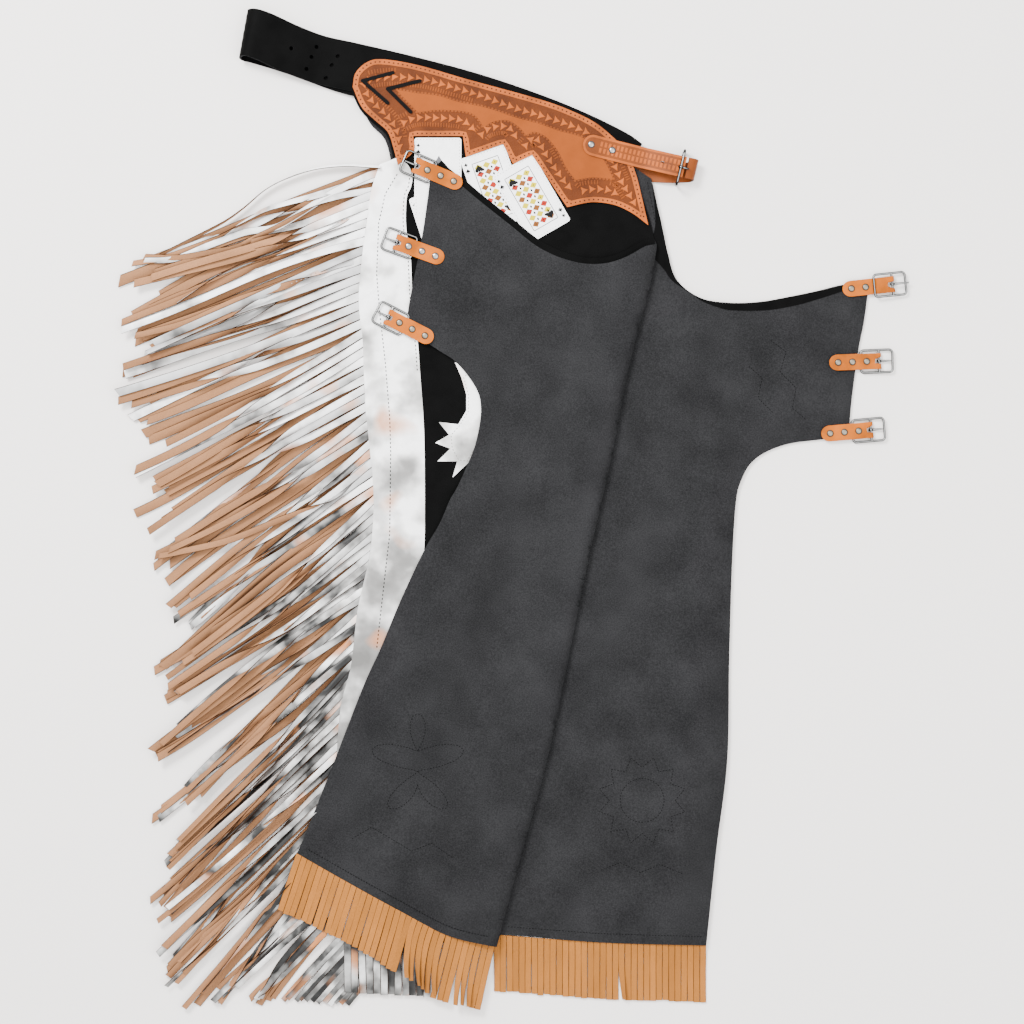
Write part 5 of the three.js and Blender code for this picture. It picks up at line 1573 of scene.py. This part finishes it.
def rod(name, start, end, radius):
    """A round bar between two places in mm, with rounded ends."""
    a, b = Vector(start) * MM, Vector(end) * MM
    deselect()
    bpy.ops.mesh.primitive_cylinder_add(vertices=14, radius=radius * MM, depth=(b - a).length)
    piece = bpy.context.object
    piece.name = name
    bevel = piece.modifiers.new("Rounded ends", "BEVEL")
    bevel.width = 0.45 * radius * MM
    bevel.segments = 3
    bevel.limit_method = "ANGLE"
    apply_modifiers(piece)
    turn = (b - a).to_track_quat("Z", "Y").to_matrix().to_4x4()
    piece.data.transform(Matrix.Translation((a + b) / 2) @ turn)
    piece.data.materials.append(MATERIALS["nickel_plate"])
    return piece


def thigh_buckle():
    """A buckle's frame and heel bar, with the bar at the origin."""
    loop = wire_loop("thigh_buckle_loop", -22, 16, 13.5, 4, WIRE)
    bar = rod("thigh_buckle_bar", (0, -13.5, 0), (0, 13.5, 0), WIRE)
    return shade(join("thigh_buckle", [loop, bar]), 50)


def prong(name, wire, reach, level):
    """A prong: an eye round its bar at the origin and a flattened shank along x."""
    deselect()
    bpy.ops.mesh.primitive_torus_add(
        major_segments=20, minor_segments=8, major_radius=(wire + 0.95) * MM, minor_radius=0.68 * MM,
        rotation=(math.pi / 2, 0, 0),
    )
    eye = bpy.context.object
    bpy.ops.object.transform_apply(location=False, rotation=True, scale=False)
    eye.data.transform(Matrix.Diagonal((1, 2.2, 1, 1)))
    eye.data.materials.append(MATERIALS["nickel_plate"])
    shank = rod(f"{name}_shank", (wire + 0.7, 0, level), (reach, 0, level), 0.7)
    for vertex in shank.data.vertices:
        along_shank = (vertex.co.x / MM - wire) / (reach - wire)
        vertex.co.y *= 2.2 - 0.9 * along_shank
    return shade(join(name, [eye, shank]), 50)


def rivet(name, radius, material):
    """A rivet: a low domed cap with a rolled rim, standing on z = 0."""
    deselect()
    bpy.ops.mesh.primitive_uv_sphere_add(segments=20, ring_count=12, radius=radius * MM)
    dome = bpy.context.object
    dome.data.transform(Matrix.Diagonal((0.92, 0.92, 0.27, 1)))
    deselect()
    bpy.ops.mesh.primitive_torus_add(
        major_segments=20, minor_segments=6, major_radius=0.88 * radius * MM, minor_radius=0.42 * MM
    )
    rim = bpy.context.object
    rim.data.transform(Matrix.Translation((0, 0, 0.2 * MM)))
    cap = join(name, [dome, rim])
    cap.data.materials.append(MATERIALS[material])
    return shade(cap, 50)


def rivet_places(name):
    """Where the caps of a tab's rivets lie."""
    tip = tab_matrices(name)[0]
    _, _, face_up, count = TABS[name]
    turn = Matrix.Rotation(math.pi if face_up else 0, 4, "X")
    for k in range(count):
        spot = Vector((RIVET_FIRST + RIVET_PITCH * k, 0, RIVET_FOOT[face_up])) * MM
        yield tip @ Matrix.Translation(spot) @ turn


def front_hardware():
    """The front buckle and its prong, standing across the straps' ends."""
    run = Vector((math.cos(STRAP_LEAN), -math.sin(STRAP_LEAN), 0))
    at = lay(*FRONT_BUCKLE) / MM
    loop = wire_loop("front_buckle_loop", -11, 11, 21, 5, 1.6)
    # Its x goes up and its y across the straps
    loop.data.transform(frame_of(at, Vector((0, 0, 1)), run * -1))
    shade(loop, 50)
    pin = prong("front_prong_pin", 1.6, 9.5, 1.6 + 0.2 + 0.7)
    dip = math.radians(20)
    down = run * math.cos(dip) + Vector((0, 0, -math.sin(dip)))
    up = run * math.sin(dip) + Vector((0, 0, math.cos(dip)))
    pin.data.transform(frame_of(at + Vector((0, 0, 11)), down, up))
    return loop, pin


# Add-on parts


class ChapsSizes(bpy.types.PropertyGroup):
    """Numbers of strips and the length of the hem fringe"""

    side_strips_right: bpy.props.IntProperty(
        name="Right side strips", description="Strips in the right leg's side fringe",
        default=84, min=20, max=140,
    )
    side_strips_left: bpy.props.IntProperty(
        name="Left side strips", description="Strips in the left leg's side fringe",
        default=72, min=20, max=140,
    )
    hem_fringe: bpy.props.FloatProperty(
        name="Hem fringe", description="Length of the hem's strips", default=0.07, unit="LENGTH"
    )


class ChapsColours(bpy.types.PropertyGroup):
    """Colours of the leathers and the floor"""

    suede: bpy.props.FloatVectorProperty(
        name="Suede", description="Colour of the dark suede", subtype="COLOR", size=3,
        default=colour("#1e1e1f")[:3],
    )
    grain: bpy.props.FloatVectorProperty(
        name="Grain", description="Colour of the black grain leather", subtype="COLOR", size=3,
        default=colour("#050505")[:3],
    )
    tan: bpy.props.FloatVectorProperty(
        name="Tan", description="Colour of the tan suede", subtype="COLOR", size=3,
        default=colour("#915c29")[:3],
    )
    strap: bpy.props.FloatVectorProperty(
        name="Tabs", description="Colour of the thigh tabs", subtype="COLOR", size=3,
        default=colour("#9a4f12")[:3],
    )
    russet: bpy.props.FloatVectorProperty(
        name="Russet", description="Colour of the tooled yokes", subtype="COLOR", size=3,
        default=colour("#753810")[:3],
    )
    floor: bpy.props.FloatVectorProperty(
        name="Floor", description="Colour of the floor", subtype="COLOR", size=3,
        default=colour("#e3dfdc")[:3],
    )


class CHAPS_OT_materials(bpy.types.Operator):
    """Make the leathers, foil, thread and metal"""

    bl_idname = "chaps.materials"
    bl_label = "Materials"

    def execute(self, context):
        make_materials()
        return {"FINISHED"}


class CHAPS_OT_legs(bpy.types.Operator):
    """Cut, fold and lay the two legs"""

    bl_idname = "chaps.legs"
    bl_label = "Legs"

    def execute(self, context):
        settle(right_leg(), "suede", "leg_right")
        settle(left_leg(), "suede", "leg_left")
        settle(edging(), "black_leather")
        settle(leg_stitches(), "suede")
        return {"FINISHED"}


# Lines that the hem's strips hang from
LEFT_STRIPS_LINE = [(494, 934), (600, 942), (706, 945)]
RIGHT_STRIPS_LINE = [(344, 935), (431, 939)]
CORNER_STRIPS_LINE = [(337, 937), (404, 941)]


class CHAPS_OT_fringe(bpy.types.Operator):
    """Cut the side and hem fringes"""

    bl_idname = "chaps.fringe"
    bl_label = "Fringe"

    def execute(self, context):
        sizes = context.scene.chaps_sizes
        settle(silver_head("side_head_right", TRIM_LEVEL + 0.9, FOIL), "silver_foil")
        settle(head_seams(), "silver_foil")
        level = TRIM_LEVEL + 0.9
        right = side_fringe("side_strips_right", sizes.side_strips_right, 7, level, (5.0, 13.0), 0.6)
        settle(right, "silver_foil", "side_fringe_right")
        left = side_fringe("side_strips_left", sizes.side_strips_left, 11, 2.0, (0.7, 3.4), 1)
        settle(left, "tan_suede", "side_fringe_left")
        reach = sizes.hem_fringe / UNIT
        flap = hem_strips(
            "hem_strips_flap", FLAP_HEM, (19, 13), 35, flap_fringe_length(reach), 12.2, 3, TAN_STRIP,
            curls=((21, 26, 26), (30, 32, 16)), fall=1.9, stray=1.6,
        )
        settle(flap, "tan_suede", "hem_fringe_right")
        left = hem_strips(
            "hem_strips_left", LEFT_STRIPS_LINE, (0, 0), 34, reach * 0.97, 3.6, 5, TAN_STRIP,
            curls=((20, 20, 9),), stray=0.5,
        )
        settle(left, "tan_suede", "hem_fringe_left")
        right = hem_strips(
            "hem_strips_right", RIGHT_STRIPS_LINE, (0, 0), 12, reach * 0.98, 6.4, 9, SILVER_STRIP
        )
        settle(right, "silver_foil")
        # The corner between side and hem fringe: strips that keep the side's slope and are cut level
        corner = hem_strips("corner_strips_right", CORNER_STRIPS_LINE, (43, 41), 12, 84, 5.0, 13, SILVER_STRIP)
        settle(corner, "silver_foil")
        return {"FINISHED"}


class CHAPS_OT_belt(bpy.types.Operator):
    """Make the waist belt with its turned back loop"""

    bl_idname = "chaps.belt"
    bl_label = "Belt"

    def execute(self, context):
        settle(belt(), "black_leather", "waist_belt")
        return {"FINISHED"}


class CHAPS_OT_yokes(bpy.types.Operator):
    """Tool the yokes, lace the right one and lay the silver leaf"""

    bl_idname = "chaps.yokes"
    bl_label = "Yokes"

    def execute(self, context):
        settle(yoke_right(), "russet", "yoke_right")
        settle(yoke_left(), "russet", "yoke_left")
        settle(leaf(), "silver_foil", "leaf_scroll")
        for name in LACES:
            settle(lace(name), "black_leather", name)
        return {"FINISHED"}


class CHAPS_OT_cards(bpy.types.Operator):
    """Lay the card appliques"""

    bl_idname = "chaps.cards"
    bl_label = "Cards"

    def execute(self, context):
        for step, name in enumerate(CARD_ORDER):
            settle(card(name, step), "white_leather", name)
        return {"FINISHED"}


class CHAPS_OT_straps(bpy.types.Operator):
    """Fold the thigh tabs and the front straps"""

    bl_idname = "chaps.straps"
    bl_label = "Straps"

    def execute(self, context):
        tabs = copies(tab(), "thigh_tabs", [tab_matrices(name)[0] for name in TABS])
        settle(tabs, "tan_suede", *[f"thigh_tab_{name}" for name in TABS])
        settle(upper_strap(), "russet", "front_strap_right")
        settle(lower_strap(), "russet", "front_strap_left")
        return {"FINISHED"}


class CHAPS_OT_hardware(bpy.types.Operator):
    """Form the buckles and prongs, and set the rivets"""

    bl_idname = "chaps.hardware"
    bl_label = "Hardware"

    def execute(self, context):
        heels = {name: tab_matrices(name)[1] for name in TABS}
        frames = copies(thigh_buckle(), "thigh_buckles", heels.values())
        settle(tarnish(frames), "nickel", *[f"thigh_buckle_{name}" for name in TABS])
        caught = [name for name in TABS if name != "left_1"]
        pins = copies(prong("thigh_prong", WIRE, 14.4, 0), "thigh_prongs", [heels[name] for name in caught])
        settle(tarnish(pins), "nickel", *[f"thigh_prong_{name}" for name in caught])
        free = copies(prong("free_prong", WIRE, 19.9, -2.3), "thigh_prong_free", [heels["left_1"]])
        settle(tarnish(free), "nickel", "thigh_prong_left_1", body="prong_left_1")
        loop, pin = front_hardware()
        settle(tarnish(loop), "nickel", "front_buckle")
        settle(tarnish(pin), "nickel", "front_prong")
        for group, plating, names in (
            ("bright", "nickel_plate", ["right_2"]),
            ("worn", "worn_nickel", ["right_1", "right_3", "left_1", "left_2", "left_3"]),
        ):
            places = [place for name in names for place in rivet_places(name)]
            nodes = [f"thigh_rivet_{name}_{k + 1}" for name in names for k in range(TABS[name][3])]
            caps = copies(rivet("rivet", 4.25, plating), f"thigh_rivets_{group}", places)
            settle(tarnish(caps), "nickel", *nodes)
        places = [Matrix.Translation(lay(*spot)) for spot in FRONT_RIVETS]
        caps = copies(rivet("rivet", 4.2, "nickel_plate"), "front_rivets", places)
        settle(tarnish(caps), "nickel", "front_rivet_1", "front_rivet_2")
        return {"FINISHED"}


# Each light's place in m, width in m and power in W
LIGHTS = {
    "key_light": ((-1.2, 1.6, 2.2), 0.9, 185),
    "fill_light": ((1.6, -0.6, 2.6), 2.4, 70),
    "top_light": ((0.0, 0.0, 3.2), 3.0, 70),
}
CAMERA_HEIGHT = 4.0
SENSOR = 36  # width of the camera's sensor in mm
PHOTO_WIDTH = 1024
SKY_POWER = 2.1


def make_stage():
    """The pale floor, three soft lights, an even sky and a camera straight above."""
    deselect()
    bpy.ops.mesh.primitive_plane_add(size=8, location=(0, 0, -0.0004))
    floor = bpy.context.object
    floor.name = "studio_floor"
    floor.data.materials.append(MATERIALS["pale_floor"])
    for name, (place, size, power) in LIGHTS.items():
        light = bpy.data.lights.new(name, "AREA")
        light.size = size
        light.energy = power
        lamp = bpy.data.objects.new(name, light)
        lamp.location = place
        lamp.rotation_euler = (Vector((0, 0, 0)) - Vector(place)).to_track_quat("-Z", "Y").to_euler()
        bpy.context.collection.objects.link(lamp)
    world = bpy.data.worlds.new("studio")
    world.use_nodes = True
    sky = world.node_tree.nodes["Background"]
    sky.inputs[0].default_value = (1, 1, 1, 1)
    sky.inputs[1].default_value = SKY_POWER
    bpy.context.scene.world = world
    camera = bpy.data.cameras.new("camera")
    camera.sensor_width = SENSOR
    camera.sensor_fit = "HORIZONTAL"
    camera.lens = SENSOR * CAMERA_HEIGHT / (PHOTO_WIDTH * UNIT)
    eye = bpy.data.objects.new("camera", camera)
    eye.location = (LAID_MIDDLE[0], LAID_MIDDLE[1], CAMERA_HEIGHT)
    bpy.context.collection.objects.link(eye)
    bpy.context.scene.camera = eye


class CHAPS_OT_stage(bpy.types.Operator):
    """Make the floor, lights and camera"""

    bl_idname = "chaps.stage"
    bl_label = "Stage"

    def execute(self, context):
        make_stage()
        return {"FINISHED"}


class CHAPS_PT_panel(bpy.types.Panel):
    """Shows the chaps' sizes and colours, and a button for each step"""

    bl_idname = "CHAPS_PT_panel"
    bl_label = "Bull Riding Chaps"
    bl_space_type = "VIEW_3D"
    bl_region_type = "UI"
    bl_category = "Chaps"

    def draw(self, context):
        for group in (context.scene.chaps_sizes, context.scene.chaps_colours):
            for name in group.bl_rna.properties.keys():
                if name not in ("rna_type", "name"):
                    self.layout.prop(group, name)
        for step in STEPS:
            self.layout.operator(step.bl_idname)


STEPS = (
    CHAPS_OT_materials, CHAPS_OT_legs, CHAPS_OT_fringe, CHAPS_OT_belt, CHAPS_OT_yokes, CHAPS_OT_cards,
    CHAPS_OT_straps, CHAPS_OT_hardware, CHAPS_OT_stage,
)
CLASSES = (ChapsSizes, ChapsColours, *STEPS, CHAPS_PT_panel)


def register():
    """Makes the add-on's classes and settings known."""
    for item in CLASSES:
        bpy.utils.register_class(item)
    bpy.types.Scene.chaps_sizes = bpy.props.PointerProperty(type=ChapsSizes)
    bpy.types.Scene.chaps_colours = bpy.props.PointerProperty(type=ChapsColours)


def unregister():
    """Takes the add-on's classes and settings away."""
    del bpy.types.Scene.chaps_colours
    del bpy.types.Scene.chaps_sizes
    for item in reversed(CLASSES):
        bpy.utils.unregister_class(item)


def declare_sheets():
    """Lists the two hides, how each is held, what it rests on and what is sewn on it, and does nothing more
    with them.
    """
    on_right = [
        "side_head_right", "side_strips_right", "head_threads", "hem_strips_flap", "hem_strips_right",
        "corner_strips_right", "yoke_right_tooled", "leaf_applique", "black_edging", "leg_threads",
        *[f"{name}_applique" for name in CARD_PLACES],
    ]
    on_left = ["side_strips_left", "hem_strips_left", "yoke_left_tooled"]
    for name, held, rests_on, sewn in (
        ("leg_right_leather", "folded", ["leg_left_leather"], on_right),
        ("leg_left_leather", "laid", [], on_left),
    ):
        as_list(rests_on)
        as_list(sewn)


def main():
    register()
    for step in STEPS:
        group, name = step.bl_idname.split(".")
        getattr(getattr(bpy.ops, group), name)()
    declare_sheets()


if __name__ == "__main__":
    main()
